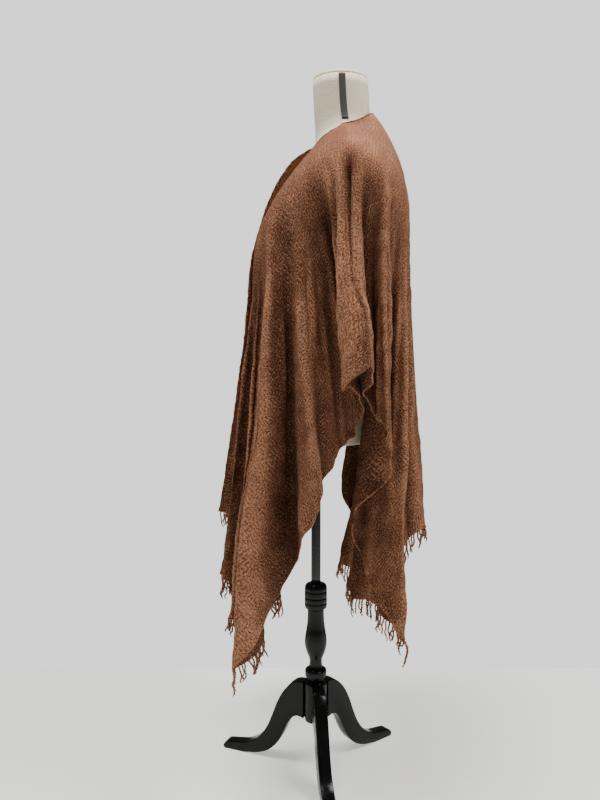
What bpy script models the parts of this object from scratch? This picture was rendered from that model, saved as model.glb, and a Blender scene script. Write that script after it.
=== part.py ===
"""Fringed ruana wrap on a limbless dress form with a turned tripod stand.

The wearer faces -Y and the wearer's left is +X. Z is up and the feet stand on z = 0.
The wrap is two woven panels, joined down the centre back and open down the front. Each
panel is a flat rectangle. A fold line runs from the neck side over the shoulder to each
place on the rectangle's rim, and falls from there to where the tables below put it.
"""

import math

import bmesh
import bpy
import numpy as np
from mathutils import Vector
from mathutils.bvhtree import BVHTree

# Everything is drawn about the pole's axis and moved by this at the end.
PLAN_SHIFT = (0.0015, -0.008, 0.0)

# The cloth, in metres.
WALL = 0.0025
PANEL_WIDTH = 0.55
FRONT_LENGTH = 0.935
BACK_LENGTH = 0.93
SEAM_GAP = 0.0004
REST_GAP = 0.0018
BEND_RUN = 0.13
ROW_STEPS = (0.0, 0.025, 0.05, 0.075, 0.1, 0.135, 0.175, 0.225, 0.29, 0.37, 0.47, 0.6, 0.8, 1.0)
COLUMN_STEPS = (0.0, 0.2, 0.5, 0.8)
SPARSE_ROWS = 5

# The fringe, in metres.
FRINGE_LENGTH = 0.036
STRANDS_A_HEM = 36
STRIP_HEIGHT = 0.004
STRAND_WIDTH = 0.0026
STRAND_TIP = 0.55
STRAND_CURL = 0.004
FRINGE_GAP = 0.0016
FRINGE_INSET = (0.001, 0.014)
STRIP_SHARE = 0.8

# The neck side point, where every fold line of the left panel starts.
NECK_SIDE = (0.070, 0.047, 1.280)

# Where the cloth lies half way over the shoulder and where it leaves the body.
YOKE_COLUMNS = ("angle", "mid_x", "mid_y", "mid_z", "off_x", "off_y", "off_z")
YOKE = (
    (0, 0.066, -0.015, 1.222, 0.078, -0.108, 1.075),
    (15, 0.082, -0.020, 1.222, 0.108, -0.108, 1.075),
    (30, 0.105, -0.010, 1.228, 0.150, -0.084, 1.105),
    (45, 0.128, 0.008, 1.236, 0.180, -0.042, 1.150),
    (65, 0.142, 0.030, 1.243, 0.198, 0.002, 1.180),
    (90, 0.148, 0.052, 1.248, 0.208, 0.050, 1.195),
    (115, 0.140, 0.075, 1.248, 0.202, 0.098, 1.185),
    (135, 0.115, 0.100, 1.250, 0.172, 0.135, 1.160),
    (150, 0.085, 0.112, 1.262, 0.128, 0.158, 1.140),
    (165, 0.042, 0.119, 1.288, 0.066, 0.172, 1.125),
    (180, 0.000, 0.114, 1.311, 0.000, 0.176, 1.115),
)

# The fold lines from the front opening round to the centre back. Rim is the distance
# along the panel's edge from the centre front corner. Then come the place where the
# line ends in plan, and how much higher it ends than a straight fall would take it.
FOLD_COLUMNS = ("rim", "end_x", "end_y", "lift")
LEFT_FOLDS = (
    (0.000, 0.058, -0.178, 0.022),
    (0.050, 0.088, -0.156, 0.026),
    (0.098, 0.120, -0.180, 0.034),
    (0.165, 0.106, -0.112, 0.028),
    (0.240, 0.132, -0.076, 0.028),
    (0.322, 0.154, -0.156, 0.022),
    (0.426, 0.170, -0.099, 0.034),
    (0.550, 0.242, -0.144, 0.040),
    (0.640, 0.234, -0.110, 0.022),
    (0.781, 0.154, -0.050, 0.005),
    (0.963, 0.247, -0.002, 0.000),
    (1.110, 0.200, 0.028, -0.010),
    (1.190, 0.190, 0.052, -0.030),
    (1.250, 0.184, 0.068, -0.040),
    (1.310, 0.206, 0.072, -0.010),
    (1.380, 0.243, 0.054, 0.000),
    (1.430, 0.264, 0.036, -0.015),
    (1.505, 0.276, 0.086, 0.020),
    (1.570, 0.243, 0.084, 0.000),
    (1.640, 0.202, 0.086, -0.020),
    (1.710, 0.192, 0.100, -0.020),
    (1.785, 0.222, 0.105, 0.012),
    (1.860, 0.242, 0.118, 0.024),
    (1.960, 0.204, 0.117, 0.010),
    (2.050, 0.166, 0.060, 0.000),
    (2.150, 0.150, 0.074, 0.008),
    (2.360, 0.196, 0.132, 0.060),
    (2.415, 0.206, 0.147, 0.075),
    (2.460, 0.188, 0.144, 0.070),
    (2.560, 0.138, 0.104, 0.045),
    (2.655, 0.106, 0.062, 0.005),
    (2.735, 0.078, 0.086, 0.010),
    (2.850, 0.086, 0.182, 0.030),
    (2.965, 0.000, 0.214, 0.042),
)

# How far the right panel's folds stray from the left's, across, forward and in height.
RIGHT_SWAY = (0.009, 0.006, 0.010)
RIGHT_FORWARD = 0.028

# How far forward of the yoke table the left and the right front edge lie, half way over
# the shoulder and where they leave the body, how much higher they are half way, and
# the share of the way that they stand out level from the neck.
OPENING_FORWARD = ((-0.012, -0.002, 0.0, 0.0), (0.040, 0.017, 0.012, 0.8))
RIGHT_RISE = 0.066

# The dress form: level, half width, front and back, and how square the section is.
FORM_COLUMNS = ("z", "half", "front", "back", "square")
FORM_SECTIONS = (
    (0.6840, 0.136, -0.060, 0.110, 2.1),
    (0.6880, 0.143, -0.067, 0.117, 2.1),
    (0.7020, 0.148, -0.073, 0.122, 2.1),
    (0.7600, 0.153, -0.080, 0.130, 2.1),
    (0.8500, 0.141, -0.078, 0.126, 2.1),
    (0.9400, 0.118, -0.072, 0.112, 2.1),
    (1.0000, 0.127, -0.084, 0.122, 2.15),
    (1.0600, 0.145, -0.096, 0.144, 2.3),
    (1.1000, 0.156, -0.087, 0.158, 2.4),
    (1.1400, 0.168, -0.066, 0.162, 2.5),
    (1.1750, 0.176, -0.045, 0.158, 2.6),
    (1.2000, 0.178, -0.030, 0.152, 2.6),
    (1.2180, 0.166, -0.019, 0.146, 2.5),
    (1.2320, 0.142, -0.012, 0.139, 2.35),
    (1.2450, 0.113, -0.007, 0.131, 2.2),
    (1.2600, 0.087, -0.003, 0.123, 2.1),
    (1.2760, 0.067, -0.002, 0.114, 2.0),
    (1.2950, 0.0575, -0.003, 0.108, 2.0),
    (1.3200, 0.0545, -0.005, 0.104, 2.0),
    (1.3800, 0.0535, -0.008, 0.100, 2.0),
)
FORM_ROUND = 24
NECK_CAP = (1.3803, 1.386, 1.392)
TAPE_WIDTH = 0.013
TAPE_WALL = 0.0009
TAPE_GAP = 0.0003
TAPE_RUN = (1.294, 1.379)

# The stand, in metres: level and radius of each turned piece, from below.
STAND_ROUND = 16
POLE = ((0.3862, 0.0095), (0.6836, 0.0095))
COLLAR = (
    (0.3334, 0.0190), (0.3350, 0.0215), (0.3400, 0.0225), (0.3445, 0.0225), (0.3455, 0.0215),
    (0.3465, 0.0225), (0.3560, 0.0225), (0.3570, 0.0215), (0.3580, 0.0225), (0.3690, 0.0225),
    (0.3700, 0.0215), (0.3710, 0.0225), (0.3780, 0.0222), (0.3830, 0.0200), (0.3858, 0.0150),
)
COLUMN = (
    (0.2071, 0.0160), (0.2110, 0.0138), (0.2210, 0.0126), (0.2300, 0.0140), (0.2400, 0.0180),
    (0.2520, 0.0215), (0.2640, 0.0225), (0.2780, 0.0212), (0.2940, 0.0185), (0.3080, 0.0170),
    (0.3220, 0.0165), (0.3330, 0.0166),
)
RING = (
    (0.1814, 0.0150), (0.1850, 0.0175), (0.1897, 0.0200), (0.1915, 0.0218), (0.2040, 0.0218),
    (0.2067, 0.0195),
)
HUB = ((0.0950, 0.0180), (0.0990, 0.0225), (0.1760, 0.0225), (0.1810, 0.0190))
LEG_BOARD = 0.025
LEG_AZIMUTHS = (8, 128, 248)
LEG_TOP = (
    (0.0228, 0.1775), (0.0400, 0.1760), (0.0550, 0.1660), (0.0700, 0.1480), (0.0830, 0.1235),
    (0.0940, 0.0950), (0.1080, 0.0640), (0.1280, 0.0390), (0.1530, 0.0240), (0.1800, 0.0185),
    (0.2020, 0.0150), (0.2100, 0.0060),
)
LEG_UNDER = (
    (0.0228, 0.1000), (0.0380, 0.1030), (0.0500, 0.0960), (0.0600, 0.0800), (0.0690, 0.0600),
    (0.0820, 0.0370), (0.1020, 0.0170), (0.1270, 0.0060), (0.1500, 0.0020), (0.1620, 0.0000),
    (0.1980, 0.0000), (0.2070, 0.0000),
)

COLOURS = {
    "heather_wool": (0x9A, 0x6A, 0x4A, 0.0, 0.92),
    "linen": (0xD9, 0xCF, 0xB8, 0.0, 0.85),
    "black_tape": (0x1C, 0x1B, 0x1B, 0.0, 0.7),
    "black_steel": (0x18, 0x18, 0x18, 0.6, 0.4),
    "black_lacquer": (0x14, 0x10, 0x0E, 0.0, 0.2),
}


def clear_scene():
    for thing in list(bpy.data.objects):
        bpy.data.objects.remove(thing)
    for mesh in list(bpy.data.meshes):
        bpy.data.meshes.remove(mesh)


def material(name, colour):
    red, green, blue, metallic, roughness = COLOURS[colour]
    made = bpy.data.materials.new(name + "_look")
    made.use_nodes = True
    shader = made.node_tree.nodes["Principled BSDF"]
    linear = [((c / 255 + 0.055) / 1.055) ** 2.4 for c in (red, green, blue)]
    shader.inputs["Base Color"].default_value = (*linear, 1)
    shader.inputs["Metallic"].default_value = metallic
    shader.inputs["Roughness"].default_value = roughness
    return made


def add(collection, name, points, faces, colour):
    """Adds one named closed solid, with its faces turned outward."""
    mesh = bpy.data.meshes.new(name)
    mesh.from_pydata([tuple(p) for p in points], [], [tuple(f) for f in faces])
    bm = bmesh.new()
    bm.from_mesh(mesh)
    bmesh.ops.triangulate(bm, faces=bm.faces)
    bmesh.ops.recalc_face_normals(bm, faces=bm.faces)
    bmesh.ops.translate(bm, verts=bm.verts, vec=PLAN_SHIFT)
    if bm.calc_volume(signed=True) < 0:
        bmesh.ops.reverse_faces(bm, faces=bm.faces)
    bm.to_mesh(mesh)
    bm.free()
    made = bpy.data.objects.new(name, mesh)
    made.data.materials.append(material(name, colour))
    collection.objects.link(made)
    return made


def table(rows, columns):
    """The rows of a table as arrays by column name."""
    values = np.array(rows, float)
    return {name: values[:, i] for i, name in enumerate(columns)}


def smooth(at, knots, values, end="free"):
    """A smooth line through the values. The end is free, or even or odd about the last knot."""
    knots, values = np.asarray(knots, float), np.asarray(values, float)
    past = {"free": 2 * values[-1] - values[-2], "even": values[-2], "odd": -values[-2]}[end]
    knots = np.concatenate([[2 * knots[0] - knots[1]], knots, [2 * knots[-1] - knots[-2]]])
    values = np.concatenate([[2 * values[0] - values[1]], values, [past]])
    k = min(max(int(np.searchsorted(knots, at, side="right")) - 1, 1), len(knots) - 3)
    span = knots[k + 1] - knots[k]
    f = min(max((at - knots[k]) / span, 0.0), 1.0)
    slope_a = (values[k + 1] - values[k - 1]) / (knots[k + 1] - knots[k - 1])
    slope_b = (values[k + 2] - values[k]) / (knots[k + 2] - knots[k])
    return hermite(values[k], values[k + 1], slope_a, slope_b, span, f)


def hermite(a, b, slope_a, slope_b, run, f):
    """The smooth step from a to b over a run, leaving and arriving at these slopes."""
    f2, f3 = f * f, f * f * f
    return (
        (2 * f3 - 3 * f2 + 1) * a
        + (f3 - 2 * f2 + f) * slope_a * run
        + (3 * f2 - 2 * f3) * b
        + (f3 - f2) * slope_b * run
    )


def flat_point(rim):
    """The place on the flat panel's edge: how far across, and how far in front of the neck side."""
    if rim <= PANEL_WIDTH:
        return rim, FRONT_LENGTH
    if rim <= PANEL_WIDTH + FRONT_LENGTH + BACK_LENGTH:
        return PANEL_WIDTH, FRONT_LENGTH + PANEL_WIDTH - rim
    return 2 * PANEL_WIDTH + FRONT_LENGTH + BACK_LENGTH - rim, -BACK_LENGTH


class Drape:
    """Places the points of a flat panel on the figure."""

    def __init__(self, folds, forward):
        self.yoke = table(YOKE, YOKE_COLUMNS)
        opening = np.clip(1 - self.yoke["angle"] / 40, 0, 1)
        self.yoke["mid_y"] = self.yoke["mid_y"] - forward[0] * opening
        self.yoke["off_y"] = self.yoke["off_y"] - forward[1] * opening
        self.yoke["mid_z"] = self.yoke["mid_z"] + forward[2] * opening
        self.level = forward[3]
        self.folds = table(folds, FOLD_COLUMNS)
        lean = []
        for rim, x, y, lift in folds:
            angle, far = self.polar(rim)
            mid, off = self.on_body(angle)
            run = far - self.length_on_body(mid, off)
            lean.append(((x - off[0]) / run, (y - off[1]) / run, lift / run))
        self.lean = np.array(lean)

    @staticmethod
    def polar(rim):
        across, along = flat_point(rim)
        return math.degrees(math.atan2(max(across, 0.0), along)), math.hypot(across, along)

    def on_body(self, angle):
        """Where the fold line lies half way over the shoulder, and where it leaves the body."""
        knots = self.yoke["angle"]
        got = [
            smooth(angle, knots, self.yoke[name], "odd" if name.endswith("x") else "even")
            for name in YOKE_COLUMNS[1:]
        ]
        return np.array(got[:3]), np.array(got[3:])

    @staticmethod
    def length_on_body(mid, off):
        return np.linalg.norm(mid - np.array(NECK_SIDE)) + np.linalg.norm(off - mid)

    def line(self, rim, steps):
        """The points of the fold line that ends at this place on the rim."""
        angle, length = self.polar(rim)
        mid, off = self.on_body(angle)
        start = np.array(NECK_SIDE)
        first = np.linalg.norm(mid - start)
        whole = self.length_on_body(mid, off)
        knots = self.folds["rim"]
        lean_x = smooth(rim, knots, self.lean[:, 0], "odd")
        lean_y = smooth(rim, knots, self.lean[:, 1], "even")
        lift = smooth(rim, knots, self.lean[:, 2], "even")
        down = -math.sqrt(max(1 - lean_x**2 - lean_y**2, 0.3)) + lift
        fall = np.array([lean_x, lean_y, down])
        level = self.level * max(1 - angle / 40, 0)
        out = (mid - start) / first * (1 - level) + np.array([0.0, -1.0, 0.15]) * level
        # The lines that reach the back first follow the neck round.
        round_neck = min(max((angle - 105) / 75, 0), 1)
        out = out * (1 - round_neck) + np.array([0.30, 1.45, 0.10]) * round_neck
        through = (off - start) / np.linalg.norm(off - start)
        through = through * (1 - round_neck) + np.array([-0.9, 0.35, -0.30]) * round_neck
        turn = (off - mid) / np.linalg.norm(off - mid) + fall / np.linalg.norm(fall)
        turn /= np.linalg.norm(turn)
        points = []
        for step in steps:
            far = step * length
            if far <= first:
                at = hermite(start, mid, out, through, first, far / first)
            elif far <= whole:
                run = whole - first
                leave = (off - start) / np.linalg.norm(off - start)
                at = hermite(mid, off, leave, turn, run, (far - first) / run)
            elif far <= whole + BEND_RUN:
                low = off + fall * BEND_RUN
                at = hermite(off, low, turn, fall, BEND_RUN, (far - whole) / BEND_RUN)
            else:
                at = off + fall * (far - whole)
            points.append(at)
        return points


def right_folds():
    """The right panel's fold lines: like the left's, but uneven, and further forward at the opening."""
    whole = LEFT_FOLDS[-1][0]
    rows = []
    for rim, x, y, lift in LEFT_FOLDS:
        opening = max(0.0, 1 - rim / 0.3)
        loose = min(1.0, (whole - rim) / 0.3)
        x += RIGHT_SWAY[0] * math.sin(4.1 * rim + 0.5) * loose
        y += RIGHT_SWAY[1] * math.sin(5.3 * rim + 2.0) * loose - RIGHT_FORWARD * opening
        lift += RIGHT_SWAY[2] * math.sin(3.7 * rim) * loose + RIGHT_RISE * opening
        rows.append((rim, x, y, lift))
    return tuple(rows)


def rims(folds):
    """The places along the rim of the panel's columns, closer together at each ridge and valley."""
    places = []
    for a, b in zip(folds, folds[1:]):
        places += [a[0] + (b[0] - a[0]) * f for f in COLUMN_STEPS]
    return places + [folds[-1][0]]


def form_sections():
    """The rings of the dress form, from the bottom up."""
    rings = []
    for z, half, front, back, square in FORM_SECTIONS:
        ring = []
        for i in range(FORM_ROUND):
            a = 2 * math.pi * i / FORM_ROUND
            c, s = math.cos(a), math.sin(a)
            x = half * math.copysign(abs(c) ** (2 / square), c)
            y = (back - front) / 2 * math.copysign(abs(s) ** (2 / square), s)
            ring.append((x, y + (back + front) / 2, z))
        rings.append(ring)
    return rings


def loft(rings):
    """Points and faces of a closed solid through rings of equal count."""
    n = len(rings[0])
    points = [p for ring in rings for p in ring]
    faces = [tuple(range(n))[::-1], tuple(range(len(points) - n, len(points)))]
    for r in range(len(rings) - 1):
        for i in range(n):
            j = (i + 1) % n
            faces.append((r * n + i, r * n + j, (r + 1) * n + j, (r + 1) * n + i))
    return points, faces


def turned(profile):
    """The rings of a turned piece about the pole's axis."""
    return [
        [
            (r * math.cos(2 * math.pi * i / STAND_ROUND), r * math.sin(2 * math.pi * i / STAND_ROUND), z)
            for i in range(STAND_ROUND)
        ]
        for z, r in profile
    ]


def leg(azimuth):
    """Points and faces of one curved leg board."""
    a = math.radians(azimuth)
    out, side = (math.cos(a), math.sin(a)), (-math.sin(a), math.cos(a))
    rings = []
    for (top_r, top_z), (low_r, low_z) in zip(LEG_TOP, LEG_UNDER):
        ring = []
        for r, z, s in ((top_r, top_z, -1), (top_r, top_z, 1), (low_r, low_z, 1), (low_r, low_z, -1)):
            s *= LEG_BOARD / 2
            ring.append((out[0] * r + side[0] * s, out[1] * r + side[1] * s, z))
        rings.append(ring)
    return loft(rings)


def neck_tape(side):
    """Points and faces of the tape up one side of the neck, following the neck's skin."""
    sections = table(FORM_SECTIONS, FORM_COLUMNS)
    rings = []
    low, high = TAPE_RUN
    for i in range(6):
        z = low + (high - low) * i / 5
        half = float(np.interp(z, sections["z"], sections["half"]))
        front = float(np.interp(z, sections["z"], sections["front"]))
        back = float(np.interp(z, sections["z"], sections["back"]))
        middle, deep = (front + back) / 2, (back - front) / 2
        ring = []
        for width, lift in ((-1, 0), (-0.5, 0), (0, 0), (0.5, 0), (1, 0), (1, 1), (0.5, 1), (0, 1),
                            (-0.5, 1), (-1, 1)):
            s = width * TAPE_WIDTH / 2
            x = half * math.sqrt(1 - (s / deep) ** 2) + TAPE_GAP + lift * TAPE_WALL
            ring.append((side * x, middle + s, z))
        rings.append(ring)
    return loft(rings)


def push_out(point, form, gap):
    """Moves a point to at least this far outside the dress form."""
    near, normal, _, far = form.find_nearest(Vector(point), 0.05)
    if near is None:
        return np.array(point)
    inside = (Vector(point) - near).dot(normal) < 0
    if inside or far < gap:
        return np.array(near + normal * gap)
    return np.array(point)


def sheet_normals(grid):
    """The direction square to the cloth at each point of a grid."""
    down = np.gradient(grid, axis=0)
    across = np.gradient(grid, axis=1)
    normal = np.cross(across, down)
    # All columns meet at the neck side, so that row takes the next row's mean.
    normal[0] = normal[1].mean(axis=0)
    return normal / np.linalg.norm(normal, axis=2, keepdims=True)


def thin_out(grid):
    """Puts the columns that the top rows leave out on a straight line between those they keep."""
    each = len(COLUMN_STEPS)
    for r in range(SPARSE_ROWS):
        for c in range(grid.shape[1]):
            a = c // each * each
            if c > a:
                f = (c - a) / each
                grid[r, c] = grid[r, a] * (1 - f) + grid[r, a + each] * f


def settle(grid, form):
    """Moves the cloth out until its points, and half way between them, clear the dress form."""
    gap = REST_GAP + WALL / 2
    rows, columns = grid.shape[:2]
    for _ in range(6):
        thin_out(grid)
        for r in range(1, rows):
            step = len(COLUMN_STEPS) if r < SPARSE_ROWS else 1
            for c in range(0, columns, step):
                for down, across in ((0, 0), (0, step), (1, 0), (1, step), (1, -step)):
                    r2, c2 = r + down, c + across
                    if r2 >= rows or not 0 <= c2 < columns:
                        continue
                    middle = (grid[r, c] + grid[r2, c2]) / 2
                    move = push_out(middle, form, gap) - middle
                    grid[r, c] += move
                    if (down, across) != (0, 0):
                        grid[r2, c2] += move
        for r in range(rows):
            for c in range(columns):
                grid[r, c, 0] = max(grid[r, c, 0], SEAM_GAP / 2 + 0.0012 * min(columns - 1 - c, 3))
        grid[grid[:, -1, 0] < 0.03, -1, 0] = SEAM_GAP / 2
        grid[0] = NECK_SIDE


def panel(folds, forward, form):
    """The outer and inner grids of a panel as a left one, row by row from the neck side."""
    drape = Drape(folds, forward)
    columns = [drape.line(rim, ROW_STEPS) for rim in rims(folds)]
    grid = np.array(columns).transpose(1, 0, 2)
    settle(grid, form)
    seam = grid[:, -1, 0] < 0.001
    normal = sheet_normals(grid)
    normal[seam, -1, 0] = 0
    normal[seam, -1] /= np.linalg.norm(normal[seam, -1], axis=1, keepdims=True)
    return grid + normal * WALL / 2, grid - normal * WALL / 2


def panel_solid(outer, inner):
    """Points and faces of one panel. The first row is one point, and the next few have fewer columns."""
    rows, columns = outer.shape[:2]
    each = len(COLUMN_STEPS)
    points, where = [], {}
    for s, side in enumerate((outer, inner)):
        for r in range(rows):
            for c in range(0, columns, each if r < SPARSE_ROWS else 1):
                if r == 0 and c > 0:
                    where[s, r, c] = where[s, 0, 0]
                    continue
                where[s, r, c] = len(points)
                points.append(side[r, c])
    faces = []
    for r in range(rows - 1):
        sparse = r + 1 < SPARSE_ROWS
        for c in range(0, columns - 1, each if r < SPARSE_ROWS else 1):
            for s in (0, 1):
                made = []
                if r < SPARSE_ROWS and not sparse:
                    a, b = where[s, r, c], where[s, r, c + each]
                    low = [where[s, r + 1, c + i] for i in range(each + 1)]
                    half = each // 2
                    made += [(a, low[i + 1], low[i]) for i in range(half)]
                    made.append((a, b, low[half]))
                    made += [(b, low[i + 1], low[i]) for i in range(half, each)]
                else:
                    d = c + (each if sparse else 1)
                    q = (where[s, r, c], where[s, r, d], where[s, r + 1, d], where[s, r + 1, c])
                    made.append(tuple(dict.fromkeys(q)))
                faces += [f if s == 0 else f[::-1] for f in made]
    last = columns - 1
    edge = [(r, 0) for r in range(rows)] + [(rows - 1, c) for c in range(1, columns)]
    edge += [(r, last) for r in range(rows - 2, 0, -1)]
    for (r0, c0), (r1, c1) in zip(edge, edge[1:] + edge[:1]):
        faces.append([where[0, r0, c0], where[0, r1, c1], where[1, r1, c1], where[1, r0, c0]])
    return points, faces


def fringe(outer, inner, rim, first, last):
    """Points and faces of one hem's fringe: a strip below the cloth's edge with hanging strands."""
    middle_in, corner_in = FRINGE_INSET
    corner_last = first == 0
    first += middle_in if corner_last else corner_in
    last -= corner_in if corner_last else middle_in
    middle, half = (outer[-1] + inner[-1]) / 2, (outer[-1] - inner[-1]) / 2 * STRIP_SHARE
    low = {"outer": middle + half, "inner": middle - half}
    fall = outer[-1] - outer[-2]
    fall /= np.linalg.norm(fall, axis=1, keepdims=True)

    def at(place, side, drop):
        line = low[side] + fall * drop
        return np.array([np.interp(place, rim, line[:, k]) for k in range(3)])

    # The strip bends where the hem does, so each stretch between columns has its own strands.
    pitch = (last - first) / STRANDS_A_HEM
    cuts = [first] + [r for r in rim if first + 0.002 < r < last - 0.002] + [last]
    places, rooted = [first], []
    for a, b in zip(cuts, cuts[1:]):
        count = max(1, round((b - a) / pitch))
        for i in range(count):
            middle = a + (b - a) * (i + 0.5) / count
            rooted += [False, True]
            places += [middle - STRAND_WIDTH / 2, middle + STRAND_WIDTH / 2]
        rooted.append(False)
        places.append(b)
    points, faces = [], []
    for place in places:
        for side, drop in (("outer", 0), ("inner", 0), ("inner", 1), ("outer", 1)):
            points.append(at(place, side, FRINGE_GAP + drop * STRIP_HEIGHT))
    for i in range(len(places) - 1):
        a, b = 4 * i, 4 * i + 4
        faces += [(a, b, b + 1, a + 1), (a + 1, b + 1, b + 2, a + 2), (a + 3, b + 3, b, a)]
        if not rooted[i]:
            faces.append((a + 2, b + 2, b + 3, a + 3))
            continue
        root = [a + 2, b + 2, b + 3, a + 3]
        strand = sum(rooted[:i])
        swing = math.sin(strand * 2.4) * STRAND_CURL, math.cos(strand * 1.7) * STRAND_CURL
        long = FRINGE_LENGTH * (0.9 + 0.1 * math.sin(strand * 1.3))
        middle = np.mean([points[k] for k in root], axis=0)
        tip = middle + np.array([swing[0], swing[1], STRIP_HEIGHT - long])
        new = []
        for k in root:
            new.append(len(points))
            points.append(tip + (np.array(points[k]) - middle) * STRAND_TIP * np.array([1, 1, 0.3]))
        for k in range(4):
            m = (k + 1) % 4
            faces.append((root[k], root[m], new[m], new[k]))
        faces.append(tuple(new))
    end = 4 * (len(places) - 1)
    faces += [(0, 1, 2, 3), (end + 3, end + 2, end + 1, end)]
    return points, faces


def main():
    clear_scene()
    collection = bpy.data.collections.new("fringed_wrap")
    bpy.context.scene.collection.children.link(collection)

    points, faces = loft(form_sections())
    add(collection, "form_torso", points, faces, "linen")
    form = BVHTree.FromPolygons([Vector(p) for p in points], faces)
    top = FORM_SECTIONS[-1]
    cap = []
    for z, share in zip(NECK_CAP, (0.99, 0.97, 0.80)):
        ring = []
        for i in range(FORM_ROUND):
            a = 2 * math.pi * i / FORM_ROUND
            y = (top[3] + top[2]) / 2 + (top[3] - top[2]) / 2 * share * math.sin(a)
            ring.append((top[1] * share * math.cos(a), y, z))
        cap.append(ring)
    add(collection, "form_neck_cap", *loft(cap), "linen")
    for name, side in (("form_tape_left", 1), ("form_tape_right", -1)):
        add(collection, name, *neck_tape(side), "black_tape")

    add(collection, "stand_pole", *loft(turned(POLE)), "black_steel")
    for name, profile in (
        ("stand_collar", COLLAR), ("stand_column", COLUMN), ("stand_ring", RING), ("stand_hub", HUB)
    ):
        add(collection, name, *loft(turned(profile)), "black_lacquer")
    for name, azimuth in zip(("stand_leg_left", "stand_leg_back", "stand_leg_front"), LEG_AZIMUTHS):
        add(collection, name, *leg(azimuth), "black_lacquer")

    for name, folds, forward, side in (
        ("left", LEFT_FOLDS, OPENING_FORWARD[0], 1), ("right", right_folds(), OPENING_FORWARD[1], -1)
    ):
        outer, inner = panel(folds, forward, form)
        outer[:, :, 0] *= side
        inner[:, :, 0] *= side
        add(collection, "wrap_%s_panel" % name, *panel_solid(outer, inner), "heather_wool")
        rim = rims(folds)
        back = PANEL_WIDTH + FRONT_LENGTH + BACK_LENGTH
        for end, first, last in (("front", 0, PANEL_WIDTH), ("back", back, back + PANEL_WIDTH)):
            made = fringe(outer, inner, rim, first, last)
            add(collection, "fringe_%s_%s" % (end, name), *made, "heather_wool")


main()
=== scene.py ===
import math

import bmesh
import bpy
import numpy as np
from bpy.props import FloatProperty, FloatVectorProperty, IntProperty, PointerProperty
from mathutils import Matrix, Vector
from mathutils.bvhtree import BVHTree


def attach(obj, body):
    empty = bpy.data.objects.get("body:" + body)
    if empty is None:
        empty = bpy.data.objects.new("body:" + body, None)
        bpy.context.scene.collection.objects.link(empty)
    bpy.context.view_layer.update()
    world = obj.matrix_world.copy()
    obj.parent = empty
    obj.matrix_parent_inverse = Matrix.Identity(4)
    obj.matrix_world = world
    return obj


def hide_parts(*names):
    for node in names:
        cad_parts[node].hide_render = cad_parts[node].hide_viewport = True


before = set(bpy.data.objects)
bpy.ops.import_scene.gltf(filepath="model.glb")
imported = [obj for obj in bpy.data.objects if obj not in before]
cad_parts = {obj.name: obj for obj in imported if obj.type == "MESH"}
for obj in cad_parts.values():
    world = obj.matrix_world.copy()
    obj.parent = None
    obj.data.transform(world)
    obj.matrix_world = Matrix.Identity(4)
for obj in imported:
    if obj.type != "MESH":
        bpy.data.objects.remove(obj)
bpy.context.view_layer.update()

bl_info = {
    "name": "Fringed wrap on a dress form",
    "version": (1, 0, 0),
    "blender": (4, 5, 0),
    "location": "View3D > Sidebar > Wrap",
    "description": "Builds a fringed ruana wrap, the dress form that wears it and its turned stand",
    "category": "Object",
}

# The pole's axis in plan: everything is drawn about it and moved there.
POLE_AT = (0.0015, -0.008)

# The cloth, in metres, as the solids have it.
PANEL_WIDTH = 0.55
FRONT_LENGTH = 0.935
BACK_LENGTH = 0.93
WALL = 0.0025
SEAM_GAP = 0.0004
REST_GAP = 0.0018
BEND_RUN = 0.13
NECK_SIDE = (0.070, 0.047, 1.280)

# Where the cloth lies half way over the shoulder and where it leaves the body.
YOKE_COLUMNS = ("angle", "mid_x", "mid_y", "mid_z", "off_x", "off_y", "off_z")
YOKE = (
    (0, 0.066, -0.015, 1.222, 0.078, -0.108, 1.075),
    (15, 0.082, -0.020, 1.222, 0.108, -0.108, 1.075),
    (30, 0.105, -0.010, 1.228, 0.150, -0.084, 1.105),
    (45, 0.128, 0.008, 1.236, 0.180, -0.042, 1.150),
    (65, 0.142, 0.030, 1.243, 0.198, 0.002, 1.180),
    (90, 0.148, 0.052, 1.248, 0.208, 0.050, 1.195),
    (115, 0.140, 0.075, 1.248, 0.202, 0.098, 1.185),
    (135, 0.115, 0.100, 1.250, 0.172, 0.135, 1.160),
    (150, 0.085, 0.112, 1.262, 0.128, 0.158, 1.140),
    (165, 0.042, 0.119, 1.288, 0.066, 0.172, 1.125),
    (180, 0.000, 0.114, 1.311, 0.000, 0.176, 1.115),
)

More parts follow.
